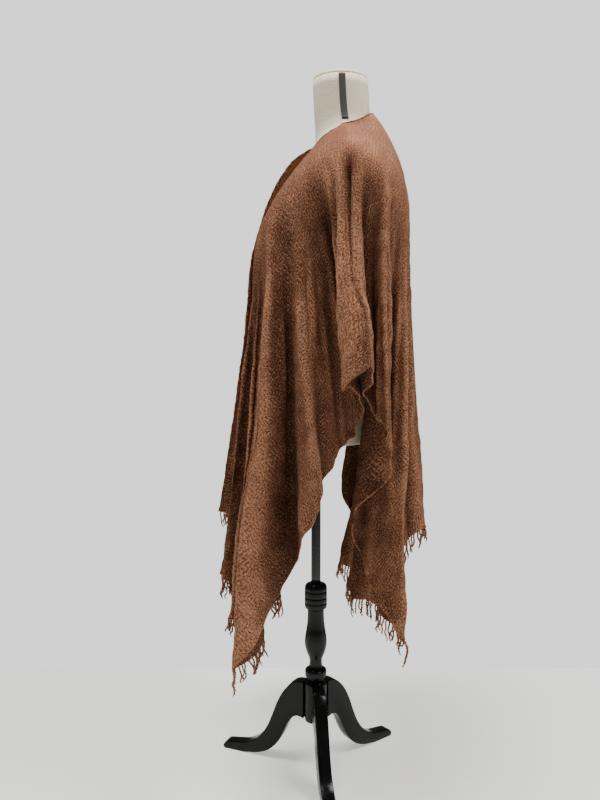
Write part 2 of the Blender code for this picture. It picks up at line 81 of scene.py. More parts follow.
# The fold lines, by the distance along the rim from the centre front corner: where each
# ends in plan, and how much higher it ends than a straight fall would take it.
FOLD_COLUMNS = ("rim", "end_x", "end_y", "lift")
LEFT_FOLDS = (
    (0.000, 0.058, -0.178, 0.022),
    (0.050, 0.088, -0.156, 0.026),
    (0.098, 0.120, -0.180, 0.034),
    (0.165, 0.106, -0.112, 0.028),
    (0.240, 0.132, -0.076, 0.028),
    (0.322, 0.154, -0.156, 0.022),
    (0.426, 0.170, -0.099, 0.034),
    (0.550, 0.242, -0.144, 0.040),
    (0.640, 0.234, -0.110, 0.022),
    (0.781, 0.154, -0.050, 0.005),
    (0.963, 0.247, -0.002, 0.000),
    (1.110, 0.200, 0.028, -0.010),
    (1.190, 0.190, 0.052, -0.030),
    (1.250, 0.184, 0.068, -0.040),
    (1.310, 0.206, 0.072, -0.010),
    (1.380, 0.243, 0.054, 0.000),
    (1.430, 0.264, 0.036, -0.015),
    (1.505, 0.276, 0.086, 0.020),
    (1.570, 0.243, 0.084, 0.000),
    (1.640, 0.202, 0.086, -0.020),
    (1.710, 0.192, 0.100, -0.020),
    (1.785, 0.222, 0.105, 0.012),
    (1.860, 0.242, 0.118, 0.024),
    (1.960, 0.204, 0.117, 0.010),
    (2.050, 0.166, 0.060, 0.000),
    (2.150, 0.150, 0.074, 0.008),
    (2.360, 0.196, 0.132, 0.060),
    (2.415, 0.206, 0.147, 0.075),
    (2.460, 0.188, 0.144, 0.070),
    (2.560, 0.138, 0.104, 0.045),
    (2.655, 0.106, 0.062, 0.005),
    (2.735, 0.078, 0.086, 0.010),
    (2.850, 0.086, 0.182, 0.030),
    (2.965, 0.000, 0.214, 0.042),
)

# How much the right panel's fold ends sway from the left's across, along and in height, and
# how much further forward and higher they end at the opening.
RIGHT_SWAY = (0.009, 0.006, 0.010)
RIGHT_FORWARD = 0.028
RIGHT_RISE = 0.066

# How far forward of the yoke table the left and the right front edge lie, half way over
# the shoulder and where they leave the body, how much higher they are half way, and
# the share of the way that they stand out level from the neck.
OPENING_FORWARD = ((-0.012, -0.002, 0.0, 0.0), (0.040, 0.017, 0.012, 0.8))

# The soft creases in the cloth between the main folds. Columns: the direction from the neck
# side in degrees, how much it turns a metre, where it starts and ends on the way down, its
# width and its height. A trough has a height below nothing. Metres.
LEFT_CREASES = (
    (3.0, 1.0, 0.40, 0.90, 0.0090, 0.0014),
    (9.5, -3.0, 0.44, 0.98, 0.0140, -0.0024),
    (16.0, 2.0, 0.46, 0.92, 0.0120, 0.0026),
    (21.5, -2.0, 0.30, 0.74, 0.0120, -0.0036),
    (27.0, 3.0, 0.52, 1.02, 0.0080, 0.0032),
    (38.0, -4.0, 0.26, 0.62, 0.0100, 0.0030),
    (47.0, 4.0, 0.30, 0.72, 0.0140, -0.0038),
    (61.0, 44.0, 0.20, 0.54, 0.0130, -0.0036),
    (69.0, 42.0, 0.17, 0.52, 0.0090, 0.0044),
    (79.5, 18.0, 0.17, 0.54, 0.0110, 0.0024),
    (89.5, 9.0, 0.13, 0.48, 0.0180, -0.0096),
    (104.0, -3.0, 0.17, 0.60, 0.0110, -0.0032),
    (121.0, 3.0, 0.16, 0.64, 0.0080, 0.0034),
    (129.5, 1.0, 0.18, 0.74, 0.0080, -0.0036),
    (138.0, -2.0, 0.24, 0.80, 0.0090, 0.0022),
    (146.0, 2.0, 0.34, 0.86, 0.0080, 0.0030),
    (156.0, -2.0, 0.28, 0.90, 0.0120, -0.0036),
    (166.0, 1.0, 0.36, 0.88, 0.0090, 0.0032),
    (173.0, -1.0, 0.24, 0.70, 0.0080, -0.0026),
)
RIGHT_CREASES = (
    (4.0, -1.0, 0.26, 0.86, 0.0080, 0.0032),
    (12.0, 2.0, 0.30, 0.94, 0.0120, -0.0042),
    (19.0, -2.0, 0.36, 0.84, 0.0080, 0.0030),
    (29.0, 3.0, 0.28, 0.96, 0.0110, -0.0036),
    (41.0, -5.0, 0.34, 0.70, 0.0090, 0.0030),
    (54.0, 4.0, 0.24, 0.56, 0.0120, -0.0030),
    (66.0, -3.0, 0.30, 0.60, 0.0080, 0.0026),
    (84.0, 3.0, 0.24, 0.52, 0.0110, -0.0028),
    (99.0, -2.0, 0.30, 0.58, 0.0090, 0.0026),
    (114.0, 4.0, 0.26, 0.60, 0.0100, -0.0028),
    (128.0, -3.0, 0.32, 0.72, 0.0090, 0.0030),
    (141.0, 2.0, 0.28, 0.84, 0.0120, -0.0038),
    (151.0, -1.0, 0.38, 0.90, 0.0080, 0.0028),
    (161.0, 2.0, 0.26, 0.82, 0.0110, -0.0034),
    (170.0, -2.0, 0.34, 0.92, 0.0080, 0.0030),
)

# Long soft folds that run with the fall. Columns: how many degrees apart, how high for each
# metre from the neck side, and where the first starts, in radians.
FALL_WAVES = ((10.5, 0.0064, 0.0), (6.3, 0.0044, 1.9), (3.9, 0.0024, 4.1))

# The slight unevenness of the cloth. Columns: how long and how high a wave is, in metres, and
# which way it runs, in radians.
UNEVEN_WAVES = ((0.061, 0.0005, 2.2), (0.043, 0.0006, 2.9), (0.027, 0.0004, 0.9))

# How long the waves of the front hem, the back hem and the selvedge are, how far into the
# cloth they reach, and the selvedge's share of their height.
HEM_WAVES = (0.052, 0.060, 0.083)
EDGE_REACH = 0.03
SELVEDGE_SHARE = 0.35

# How far from the neck side the cloth is laid against the form, how far it is still kept
# clear of it once it is creased, and the share of the gap that it keeps there.
ON_FORM = 0.52
BY_FORM = 0.80
CREASED_GAP = 0.8

# The dress form: level, half width, front and back, and how square the section is.
FORM_COLUMNS = ("z", "half", "front", "back", "square")
FORM_SECTIONS = (
    (0.6840, 0.136, -0.060, 0.110, 2.1),
    (0.6880, 0.143, -0.067, 0.117, 2.1),
    (0.7020, 0.148, -0.073, 0.122, 2.1),
    (0.7600, 0.153, -0.080, 0.130, 2.1),
    (0.8500, 0.141, -0.078, 0.126, 2.1),
    (0.9400, 0.118, -0.072, 0.112, 2.1),
    (1.0000, 0.127, -0.084, 0.122, 2.15),
    (1.0600, 0.145, -0.096, 0.144, 2.3),
    (1.1000, 0.156, -0.087, 0.158, 2.4),
    (1.1400, 0.168, -0.066, 0.162, 2.5),
    (1.1750, 0.176, -0.045, 0.158, 2.6),
    (1.2000, 0.178, -0.030, 0.152, 2.6),
    (1.2180, 0.166, -0.019, 0.146, 2.5),
    (1.2320, 0.142, -0.012, 0.139, 2.35),
    (1.2450, 0.113, -0.007, 0.131, 2.2),
    (1.2600, 0.087, -0.003, 0.123, 2.1),
    (1.2760, 0.067, -0.002, 0.114, 2.0),
    (1.2950, 0.0575, -0.003, 0.108, 2.0),
    (1.3200, 0.0545, -0.005, 0.104, 2.0),
    (1.3800, 0.0535, -0.008, 0.100, 2.0),
)
FORM_ROUND = 96
TAPE_WIDTH = 0.013
TAPE_WALL = 0.0009
TAPE_GAP = 0.0003
TAPE_RUN = (1.294, 1.379)

# The stand: level and radius of each turned piece, from below.
POLE = ((0.3862, 0.0095), (0.4500, 0.0095), (0.6000, 0.0095), (0.6836, 0.0095))
COLLAR = (
    (0.3334, 0.0190), (0.3350, 0.0215), (0.3400, 0.0225), (0.3445, 0.0225), (0.3455, 0.0215),
    (0.3465, 0.0225), (0.3560, 0.0225), (0.3570, 0.0215), (0.3580, 0.0225), (0.3690, 0.0225),
    (0.3700, 0.0215), (0.3710, 0.0225), (0.3780, 0.0222), (0.3830, 0.0200), (0.3858, 0.0150),
)
COLUMN = (
    (0.2071, 0.0160), (0.2110, 0.0138), (0.2210, 0.0126), (0.2300, 0.0140), (0.2400, 0.0180),
    (0.2520, 0.0215), (0.2640, 0.0225), (0.2780, 0.0212), (0.2940, 0.0185), (0.3080, 0.0170),
    (0.3220, 0.0165), (0.3330, 0.0166),
)
RING = (
    (0.1814, 0.0150), (0.1850, 0.0175), (0.1897, 0.0200), (0.1915, 0.0218), (0.2040, 0.0218),
    (0.2067, 0.0195),
)
HUB = ((0.0950, 0.0180), (0.0990, 0.0225), (0.1500, 0.0225), (0.1760, 0.0225), (0.1810, 0.0190))
TURNED_ROUND = 64
TURNED_FINE = 5
LEG_BOARD = 0.025
LEG_ROUNDING = 0.0024
LEG_AZIMUTHS = (8, 128, 248)
LEG_TOP = (
    (0.0228, 0.1775), (0.0400, 0.1760), (0.0550, 0.1660), (0.0700, 0.1480), (0.0830, 0.1235),
    (0.0940, 0.0950), (0.1080, 0.0640), (0.1280, 0.0390), (0.1530, 0.0240), (0.1800, 0.0185),
    (0.2020, 0.0150), (0.2100, 0.0060),
)
LEG_UNDER = (
    (0.0228, 0.1000), (0.0380, 0.1030), (0.0500, 0.0960), (0.0600, 0.0800), (0.0690, 0.0600),
    (0.0820, 0.0370), (0.1020, 0.0170), (0.1270, 0.0060), (0.1500, 0.0020), (0.1620, 0.0000),
    (0.1980, 0.0000), (0.2070, 0.0000),
)

# The fringe: how much longer and thicker the strand at each outer corner is, how many stops a
# yarn has, how far above the hem it starts, and where its tip starts to open and to thin.
CORNER_STRAND = 1.2
CORNER_THICK = 1.5
STRAND_STOPS = 16
STRAND_ROOT = 0.004
STRAND_TIP = 0.8

# How far down the back the front edge's roll goes, and how much thicker than the selvedge's
# yarn it is.
ROLL_END = -0.10
ROLL_SHARE = 2.3

# A pulled yarn on the left shoulder: how far across and along the panel it stands, the radius
# of its loop and of its yarn, how far out it stands, and how far it turns each way, in radians.
SNAG_AT = (0.040, 0.060)
SNAG_LOOP = 0.0042
SNAG_YARN = 0.0007
SNAG_OUT = 0.0022
SNAG_TURN = 2.6
SNAG_STOPS = 18

# How widely the cloth is smoothed to tell its ridges from its hollows, the height at which a
# ridge's painted highlight is as light as it gets, and how dark the painted shade in the hollows
# and how light the painted highlight on the ridges is coloured.
RELIEF_STEPS = 60
RELIEF_HEIGHT = 0.009
PAINTED_FOLD_SHADE = (-0.21, 0.10)

# The nap: a fibre's radius, how much it leans either way, the share that stands on the outer
# face, and how deep in the wall its root is.
NAP_FIBRE = 0.00022
NAP_LEAN = 0.9
NAP_OUTER = 0.75
NAP_ROOT = 0.45

# Points closer than this are welded.
WELD = 1e-6

# The floor: half its side, how far it reaches behind the wrap as the camera looks, and how much
# light of its own it gives, which lifts it to its tone in the photograph.
FLOOR_HALF = 3.0
FLOOR_BEHIND = 0.468
FLOOR_GLOW = 0.6

# The lamps: where each hangs, what it is aimed at, its side and its power in watts.
LAMPS = {
    "top": ((0.30, -0.40, 2.90), (0.0, 0.0, 1.0), 0.9, 82.0),
    "back": ((0.38, 1.15, 2.60), (0.0, 0.0, 0.9), 0.9, 48.0),
}

# The photograph's camera: where it stands, how far it looks down, and its lens.
CAMERA_AT = (1.5015, -0.0404, 0.867)
CAMERA_DOWN = 4.1
CAMERA_LENS = 33.75


def rgb(code):
    """The linear colour of an sRGB hex value, with no see-through."""
    parts = [int(code[i:i + 2], 16) / 255 for i in (1, 3, 5)]
    linear = [c / 12.92 if c <= 0.04045 else ((c + 0.055) / 1.055) ** 2.4 for c in parts]
    return (*linear, 1.0)


def per_mm(size):
    """The texture scale that draws a pattern of this size in millimetres."""
    return 1000.0 / size


# A wave texture of scale one turns once in this many units.
WAVE_TURN = 0.314


def add_node(tree, kind, inputs=None, **settings):
    """Adds a shader node to a tree. An input is given a value, or is linked to another node's socket."""
    made = tree.nodes.new("ShaderNode" + kind)
    for name, value in settings.items():
        setattr(made, name, value)
    for name, value in (inputs or {}).items():
        if isinstance(value, bpy.types.NodeSocket):
            tree.links.new(value, made.inputs[name])
        else:
            made.inputs[name].default_value = value
    return made


def new_material(name, **shader):
    """A material with its main shader, whose own sockets take the constant values."""
    made = bpy.data.materials.new(name)
    made.use_nodes = True
    main = made.node_tree.nodes["Principled BSDF"]
    for socket, value in shader.items():
        main.inputs[socket.replace("_", " ")].default_value = value
    return made, made.node_tree, main


def table(rows, columns):
    """The rows of a table as arrays by column name."""
    values = np.array(rows, float)
    return {name: values[:, i] for i, name in enumerate(columns)}


def hermite(a, b, slope_a, slope_b, run, f):
    """The smooth step from a to b over a run, leaving and arriving at these slopes."""
    f2, f3 = f * f, f * f * f
    return (
        (2 * f3 - 3 * f2 + 1) * a
        + (f3 - 2 * f2 + f) * slope_a * run
        + (3 * f2 - 2 * f3) * b
        + (f3 - f2) * slope_b * run
    )


def smooth(at, knots, values, end="free"):
    """A smooth line through the values. The end is free, or even or odd about the last knot."""
    knots, values = np.asarray(knots, float), np.asarray(values, float)
    past = {"free": 2 * values[-1] - values[-2], "even": values[-2], "odd": -values[-2]}[end]
    knots = np.concatenate([[2 * knots[0] - knots[1]], knots, [2 * knots[-1] - knots[-2]]])
    values = np.concatenate([[2 * values[0] - values[1]], values, [past]])
    k = np.clip(np.searchsorted(knots, at, side="right") - 1, 1, len(knots) - 3)
    span = knots[k + 1] - knots[k]
    f = np.clip((at - knots[k]) / span, 0, 1)
    slope_a = (values[k + 1] - values[k - 1]) / (knots[k + 1] - knots[k - 1])
    slope_b = (values[k + 2] - values[k]) / (knots[k + 2] - knots[k])
    return hermite(values[k], values[k + 1], slope_a, slope_b, span, f)


def step_between(value, low, high):
    """A soft step from nothing at the low value to one at the high value."""
    f = np.clip((value - low) / (high - low), 0, 1)
    return f * f * (3 - 2 * f)


def unit(vectors):
    return vectors / np.maximum(np.linalg.norm(vectors, axis=-1, keepdims=True), 1e-9)


def rim_at(angle):
    """How far round the flat panel's rim the directions from the neck side end, in degrees."""
    a = np.radians(np.clip(angle, 1e-4, 179.9999))
    front = math.atan2(PANEL_WIDTH, FRONT_LENGTH)
    back = math.pi - math.atan2(PANEL_WIDTH, BACK_LENGTH)
    whole = 2 * PANEL_WIDTH + FRONT_LENGTH + BACK_LENGTH
    side = PANEL_WIDTH + FRONT_LENGTH - PANEL_WIDTH / np.tan(a)
    rim = np.where(a <= front, FRONT_LENGTH * np.tan(a), side)
    return np.where(a >= back, whole + BACK_LENGTH * np.tan(a), rim)


class Drape:
    """Lays the points of a flat panel on the figure, as a left panel."""

    def __init__(self, folds, forward):
        self.yoke = table(YOKE, YOKE_COLUMNS)
        opening = np.clip(1 - self.yoke["angle"] / 40, 0, 1)
        self.yoke["mid_y"] = self.yoke["mid_y"] - forward[0] * opening
        self.yoke["off_y"] = self.yoke["off_y"] - forward[1] * opening
        self.yoke["mid_z"] = self.yoke["mid_z"] + forward[2] * opening
        self.level = forward[3]
        self.folds = table(folds, FOLD_COLUMNS)
        rim = self.folds["rim"]
        front, back = PANEL_WIDTH, PANEL_WIDTH + FRONT_LENGTH + BACK_LENGTH
        across = np.where(rim <= front, rim, np.where(rim >= back, back + PANEL_WIDTH - rim, PANEL_WIDTH))
        along = np.clip(FRONT_LENGTH + PANEL_WIDTH - rim, -BACK_LENGTH, FRONT_LENGTH)
        mid, off = self.on_body(np.degrees(np.arctan2(np.maximum(across, 0), along)))
        run = np.hypot(across, along) - self.length_on_body(mid, off)
        self.lean = [
            (self.folds["end_x"] - off[:, 0]) / run,
            (self.folds["end_y"] - off[:, 1]) / run,
            self.folds["lift"] / run,
        ]

    def on_body(self, angle):
        """Where a fold line lies half way over the shoulder, and where it leaves the body."""
        got = [
            smooth(angle, self.yoke["angle"], self.yoke[name], "odd" if name.endswith("x") else "even")
            for name in YOKE_COLUMNS[1:]
        ]
        return np.stack(got[:3], -1), np.stack(got[3:], -1)

    @staticmethod
    def length_on_body(mid, off):
        return np.linalg.norm(mid - np.array(NECK_SIDE), axis=-1) + np.linalg.norm(off - mid, axis=-1)

    def lay(self, across, along):
        """The places on the figure of points of the flat panel."""
        angle = np.degrees(np.arctan2(np.maximum(across, 0.0), along))
        far = np.hypot(across, along)[..., None]
        rim = rim_at(angle)
        mid, off = self.on_body(angle)
        start = np.array(NECK_SIDE)
        first = np.linalg.norm(mid - start, axis=-1)[..., None]
        whole = self.length_on_body(mid, off)[..., None]
        lean_x, lean_y, lift = (
            smooth(rim, self.folds["rim"], lean, end) for lean, end in zip(self.lean, ("odd", "even", "even"))
        )
        down = -np.sqrt(np.maximum(1 - lean_x**2 - lean_y**2, 0.3)) + lift
        fall = np.stack([lean_x, lean_y, down], -1)
        # The lines that reach the back first follow the neck round.
        round_neck = np.clip((angle - 105) / 75, 0, 1)[..., None]
        level = self.level * np.maximum(1 - angle / 40, 0)[..., None]
        out = unit(mid - start) * (1 - level) + np.array([0.0, -1.0, 0.15]) * level
        out = out * (1 - round_neck) + np.array([0.30, 1.45, 0.10]) * round_neck
        leave = unit(off - start)
        through = leave * (1 - round_neck) + np.array([-0.9, 0.35, -0.30]) * round_neck
        turn = unit(unit(off - mid) + unit(fall))
        low = off + fall * BEND_RUN
        over = hermite(start, mid, out, through, first, far / first)
        to_edge = hermite(mid, off, leave, turn, whole - first, (far - first) / (whole - first))
        bend = hermite(off, low, turn, fall, BEND_RUN, (far - whole) / BEND_RUN)
        at = np.where(far <= whole + BEND_RUN, bend, off + fall * (far - whole))
        at = np.where(far <= whole, to_edge, at)
        return np.where(far <= first, over, at)


def right_folds():
    """The right panel's fold lines: like the left's, but uneven, and further forward at the opening."""
    whole = LEFT_FOLDS[-1][0]
    rows = []
    for rim, x, y, lift in LEFT_FOLDS:
        opening = max(0.0, 1 - rim / 0.3)
        loose = min(1.0, (whole - rim) / 0.3)
        x += RIGHT_SWAY[0] * math.sin(4.1 * rim + 0.5) * loose
        y += RIGHT_SWAY[1] * math.sin(5.3 * rim + 2.0) * loose - RIGHT_FORWARD * opening
        lift += RIGHT_SWAY[2] * math.sin(3.7 * rim) * loose + RIGHT_RISE * opening
        rows.append((rim, x, y, lift))
    return tuple(rows)


def form_ring(z, count=FORM_ROUND):
    """The dress form's skin at one level."""
    rows = table(FORM_SECTIONS, FORM_COLUMNS)
    half, front, back, square = (float(smooth(z, rows["z"], rows[name])) for name in FORM_COLUMNS[1:])
    a = 2 * np.pi * np.arange(count) / count
    c, s = np.cos(a), np.sin(a)
    x = half * np.sign(c) * np.abs(c) ** (2 / square)
    y = (back - front) / 2 * np.sign(s) * np.abs(s) ** (2 / square) + (back + front) / 2
    return np.stack([x + POLE_AT[0], y + POLE_AT[1], np.full(count, z)], -1)


def cloth_normals(grid):
    """The direction square to the cloth at each point, away from the body."""
    along = np.gradient(grid, axis=0)
    across = np.gradient(grid, axis=1)
    return unit(np.cross(across, along))


def push_out(points, form, gap):
    """Moves points to at least this far outside the dress form."""
    moved = points.copy()
    for i, p in enumerate(points):
        near, normal, _, far = form.find_nearest(Vector(p), 0.04)
        if near is not None and ((Vector(p) - near).dot(normal) < 0 or far < gap):
            moved[i] = near + normal * gap
    return moved


def beside(grid):
    """The mean of each point's four neighbours. At an edge the point itself takes the missing one's place."""
    padded = np.pad(grid, ((1, 1), (1, 1), (0, 0)), mode="edge")
    return (padded[:-2, 1:-1] + padded[2:, 1:-1] + padded[1:-1, :-2] + padded[1:-1, 2:]) / 4


def relax(grid, share, fixed):
    """Evens out a grid, a share of the way to the mean of each point's neighbours."""
    return grid + (beside(grid) - grid) * share * (1 - fixed)[..., None]


def new_piece(name, bm, material, slot, *nodes):
    """Ends a piece's modelling: its mesh, material, body, and the solids that it stands for."""
    mesh = bpy.data.meshes.new(name)
    bm.to_mesh(mesh)
    bm.free()
    mesh.materials.append(material)
    for face in mesh.polygons:
        face.use_smooth = True
    made = bpy.data.objects.new(name, mesh)
    bpy.context.scene.collection.objects.link(made)
    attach(made, "root")
    if nodes:
        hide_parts(*nodes)
    return made


def yarn_curve(name, radius):
    """An empty curve of round yarn."""
    curve = bpy.data.curves.new(name, "CURVE")
    curve.dimensions = "3D"
    curve.bevel_depth = radius
    curve.bevel_resolution = 1
    curve.use_fill_caps = True
    return curve


def add_yarn(curve, points, radii):
    """Adds a yarn through the points, each with its share of the curve's radius."""
    spline = curve.splines.new("POLY")
    spline.points.add(len(points) - 1)
    for at, p, r in zip(spline.points, points, radii):
        at.co = (*p, 1.0)
        at.radius = r


def yarn_piece(name, curve, material, slot, *nodes):
    """Ends a piece of yarn: the curve's mesh, with its caps welded on."""
    holder = bpy.data.objects.new("yarns", curve)
    bpy.context.scene.collection.objects.link(holder)
    bpy.context.view_layer.update()
    mesh = bpy.data.meshes.new_from_object(holder.evaluated_get(bpy.context.evaluated_depsgraph_get()))
    bpy.data.objects.remove(holder)
    bm = bmesh.new()
    bm.from_mesh(mesh)
    bpy.data.meshes.remove(mesh)
    bmesh.ops.remove_doubles(bm, verts=bm.verts, dist=WELD)
    return new_piece(name, bm, material, slot, *nodes)


def lofted(rings):
    """A closed skin over a row of rings of equal count, each extruded from the one before."""
    bm = bmesh.new()
    count = len(rings[0])
    made = bmesh.ops.create_circle(bm, cap_ends=False, segments=count, radius=1.0)
    ring = made["verts"]
    angle = {v: round(math.atan2(v.co.y, v.co.x) / (2 * math.pi) * count) % count for v in ring}
    edges = [e for e in bm.edges if e.verts[0] in angle and e.verts[1] in angle]
    for v, i in angle.items():
        v.co = rings[0][i]
    first = list(edges)
    for row in rings[1:]:
        place = {tuple(v.co): i for v, i in angle.items()}
        grown = bmesh.ops.extrude_edge_only(bm, edges=edges)["geom"]
        angle = {g: place[tuple(g.co)] for g in grown if isinstance(g, bmesh.types.BMVert)}
        edges = [g for g in grown if isinstance(g, bmesh.types.BMEdge) and all(v in angle for v in g.verts)]
        for v, i in angle.items():
            v.co = row[i]
    bmesh.ops.edgeloop_fill(bm, edges=first)
    bmesh.ops.edgeloop_fill(bm, edges=edges)
    bmesh.ops.recalc_face_normals(bm, faces=bm.faces)
    return bm


def turned(profile):
    """A closed turned piece about the pole's axis, spun from a smooth line through its profile."""
    levels = np.array([z for z, _ in profile])
    radii = np.array([r for _, r in profile])
    at = np.concatenate([np.linspace(a, b, TURNED_FINE, endpoint=False) for a, b in zip(levels, levels[1:])])
    at = np.append(at, levels[-1])
    line = [(0.0, at[0])] + list(zip(smooth(at, levels, radii), at)) + [(0.0, at[-1])]
    bm = bmesh.new()
    verts = [bm.verts.new((r + POLE_AT[0], POLE_AT[1], z)) for r, z in line]
    edges = [bm.edges.new(pair) for pair in zip(verts, verts[1:])]
    bmesh.ops.spin(
        bm, geom=verts + edges, cent=(*POLE_AT, 0), axis=(0, 0, 1), angle=2 * math.pi,
        steps=TURNED_ROUND, use_merge=True, use_duplicate=False,
    )
    bmesh.ops.remove_doubles(bm, verts=bm.verts, dist=WELD)
    bmesh.ops.recalc_face_normals(bm, faces=bm.faces)
    return bm


def leg_board(azimuth):
    """One leg: a board cut to a curve, with its edges rounded over."""
    a = math.radians(azimuth)
    out, side = (math.cos(a), math.sin(a)), (-math.sin(a), math.cos(a))
    at = np.linspace(0, len(LEG_TOP) - 1, 4 * (len(LEG_TOP) - 1) + 1)
    knots = np.arange(len(LEG_TOP))
    top = [smooth(at, knots, np.array(LEG_TOP)[:, k]) for k in (0, 1)]
    low = [smooth(at, knots, np.array(LEG_UNDER)[:, k]) for k in (0, 1)]
    low[1] = np.maximum(low[1], 0.0)
    rings = []
    for i in range(len(at)):
        ring = []
        for (r, z), s in (((top[0][i], top[1][i]), -1), ((top[0][i], top[1][i]), 1),
                          ((low[0][i], low[1][i]), 1), ((low[0][i], low[1][i]), -1)):
            s *= LEG_BOARD / 2
            ring.append((out[0] * r + side[0] * s + POLE_AT[0], out[1] * r + side[1] * s + POLE_AT[1], z))
        rings.append(ring)
    bm = lofted(rings)
    edges = [e for e in bm.edges if len(e.link_faces) == 2 and e.calc_face_angle() > math.radians(40)]
    bmesh.ops.bevel(
        bm, geom=edges, offset=LEG_ROUNDING, offset_type="OFFSET", segments=3, profile=0.5,
        affect="EDGES", material=-1, clamp_overlap=True,
    )
    return bm


def panel_grid(folds, forward, creases, form, phase):
    """The middle surface of a panel as a left one: a row every few millimetres from front hem to back hem."""
    cloth = bpy.context.scene.wrap_cloth
    columns = round(PANEL_WIDTH / cloth.mesh_step)
    rows = round((FRONT_LENGTH + BACK_LENGTH) / cloth.mesh_step)
    across, along = np.meshgrid(
        np.linspace(0, PANEL_WIDTH, columns + 1), np.linspace(FRONT_LENGTH, -BACK_LENGTH, rows + 1)
    )
    grid = Drape(folds, forward).lay(across, along)
    far = np.hypot(across, along)
    angle = np.degrees(np.arctan2(across, along))
    gap = REST_GAP + WALL / 2
    # The seam side stays on its own side of the middle.
    soft = 0.001 + 0.004 * step_between(across, 0, 0.02)
    x = grid[..., 0] - SEAM_GAP / 2
    grid[..., 0] = np.where(along < 0.02, (x + np.sqrt(x * x + soft * soft)) / 2 + SEAM_GAP / 2, grid[..., 0])
    seam = (across == 0) & (along < -0.10)
    grid[seam, 0] = SEAM_GAP / 2
    near = far < ON_FORM
    edge = np.zeros(grid.shape[:2])
    edge[:, 0] = edge[:, -1] = edge[0] = edge[-1] = 1
    for _ in range(3):
        grid[near] = push_out(grid[near], form, gap)
        grid = relax(grid, 0.5, np.maximum(edge, 1 - near))
    grid[near] = push_out(grid[near], form, gap)
    # The creases, one by one from the table.
    lift = np.zeros(grid.shape[:2])
    for a, turn, start, end, width, height in creases:
        off = np.radians(angle - a - turn * (far - start)) * far / cloth.crease_width
        quarter, last = start + 0.25 * (end - start), end - 0.3 * (end - start)
        run = step_between(far, start, quarter) * (1 - step_between(far, last, end))
        lift += cloth.crease_height * height * np.exp(-((off / width) ** 2)) * run
    # Soft folds that sway on their way down, and a slight unevenness, more where the cloth hangs free.
    free = step_between(far, 0.14, 0.50)
    for span, height, start in FALL_WAVES:
        sway = 1.1 * np.sin(far * 7.5 + start + phase) + 0.5 * np.sin(far * 17 + 2 * start)
        lift += height * free * far * np.sin(2 * np.pi * angle / span + start + phase + sway)
    for length, height, turn in UNEVEN_WAVES:
        wave = 2 * np.pi / length
        run = across * math.cos(turn) + along * math.sin(turn)
        over = across * math.sin(turn) - along * math.cos(turn)
        bent = 1.4 * np.sin(wave * 0.6 * over + phase)
        lift += height * (0.3 + 0.7 * free) * np.sin(wave * run + phase * (1 + 7 * turn) + bent)
    # The hems and the selvedge wave a little, as the edge of a loose weave does.
    for away, along_it, length, share in zip(
        (FRONT_LENGTH - along, along + BACK_LENGTH, PANEL_WIDTH - across),
        (across, across, along), HEM_WAVES, (1.0, 1.0, SELVEDGE_SHARE),
    ):
        wave = np.sin(2 * np.pi * along_it / length + phase + np.sin(along_it * 31 + phase))
        lift += cloth.edge_wave * share * np.exp(-away / EDGE_REACH) * wave
    # The centre-back seam stays straight.
    still = np.where(along < 0.0, step_between(across, 0, 0.03), 1.0)
    grid += cloth_normals(grid) * (lift * still)[..., None]
    low = far < BY_FORM
    grid[low] = push_out(grid[low], form, gap * CREASED_GAP)
    return across, along, grid


def relief(grid):
    """How far each point of the cloth stands out of the cloth around it, or lies back, in metres."""
    smoothed = grid
    for _ in range(RELIEF_STEPS):
        smoothed = beside(smoothed)
    return ((grid - smoothed) * cloth_normals(grid)).sum(axis=2)


class WrapCloth(bpy.types.PropertyGroup):
    """Sizes and colours of the cloth."""

    mesh_step: FloatProperty(
        name="Mesh step", description="How far apart the points of the cloth lie", default=0.005,
        min=0.003, max=0.02, unit="LENGTH",
    )
    crease_height: FloatProperty(
        name="Crease height", description="How much of their own height the soft creases have", default=2.8,
        min=0, max=5,
    )
    crease_width: FloatProperty(
        name="Crease width", description="How much of their own width the soft creases have", default=1.35,
        min=0.5, max=3,
    )
    edge_wave: FloatProperty(
        name="Edge wave", description="How much the hems and the selvedge wave", default=0.0040, min=0, max=0.01,
        unit="LENGTH",
    )
    edge_yarn: FloatProperty(
        name="Edge yarn", description="The radius of the yarn along each selvedge", default=0.0011, min=0, max=0.01,
        unit="LENGTH",
    )
    nap_length: FloatProperty(
        name="Nap", description="How far the brushed fibres stand out of the cloth", default=0.0034, min=0, max=0.02,
        unit="LENGTH",
    )
    nap_doublings: IntProperty(
        name="Nap doublings", description="How often the brushed fibres of a panel are doubled", default=14,
        min=0, max=15,
    )
    light: FloatVectorProperty(
        name="Light yarn", description="The lightest fibres of the heather", subtype="COLOR", size=3,
        min=0, max=1, default=rgb("#B98564")[:3],
    )
    middle: FloatVectorProperty(
        name="Middle yarn", description="The heather's main brown", subtype="COLOR", size=3,
        min=0, max=1, default=rgb("#744A36")[:3],
    )
    dark: FloatVectorProperty(
        name="Dark yarn", description="The darkest fibres of the heather", subtype="COLOR", size=3,
        min=0, max=1, default=rgb("#2C160D")[:3],
    )


class WrapFringe(bpy.types.PropertyGroup):
    """Sizes of the fringe."""

    length: FloatProperty(
        name="Length", description="How long a strand hangs below the hem", default=0.034, min=0.01, max=0.1,
        unit="LENGTH",
    )
    spacing: FloatProperty(
        name="Spacing", description="How far apart the strands stand along the hem", default=0.0068, min=0.003,
        max=0.03, unit="LENGTH",
    )
    yarn: FloatProperty(
        name="Yarn radius", description="The radius of one of a strand's two yarns", default=0.00115, min=0.0003,
        max=0.003, unit="LENGTH",
    )


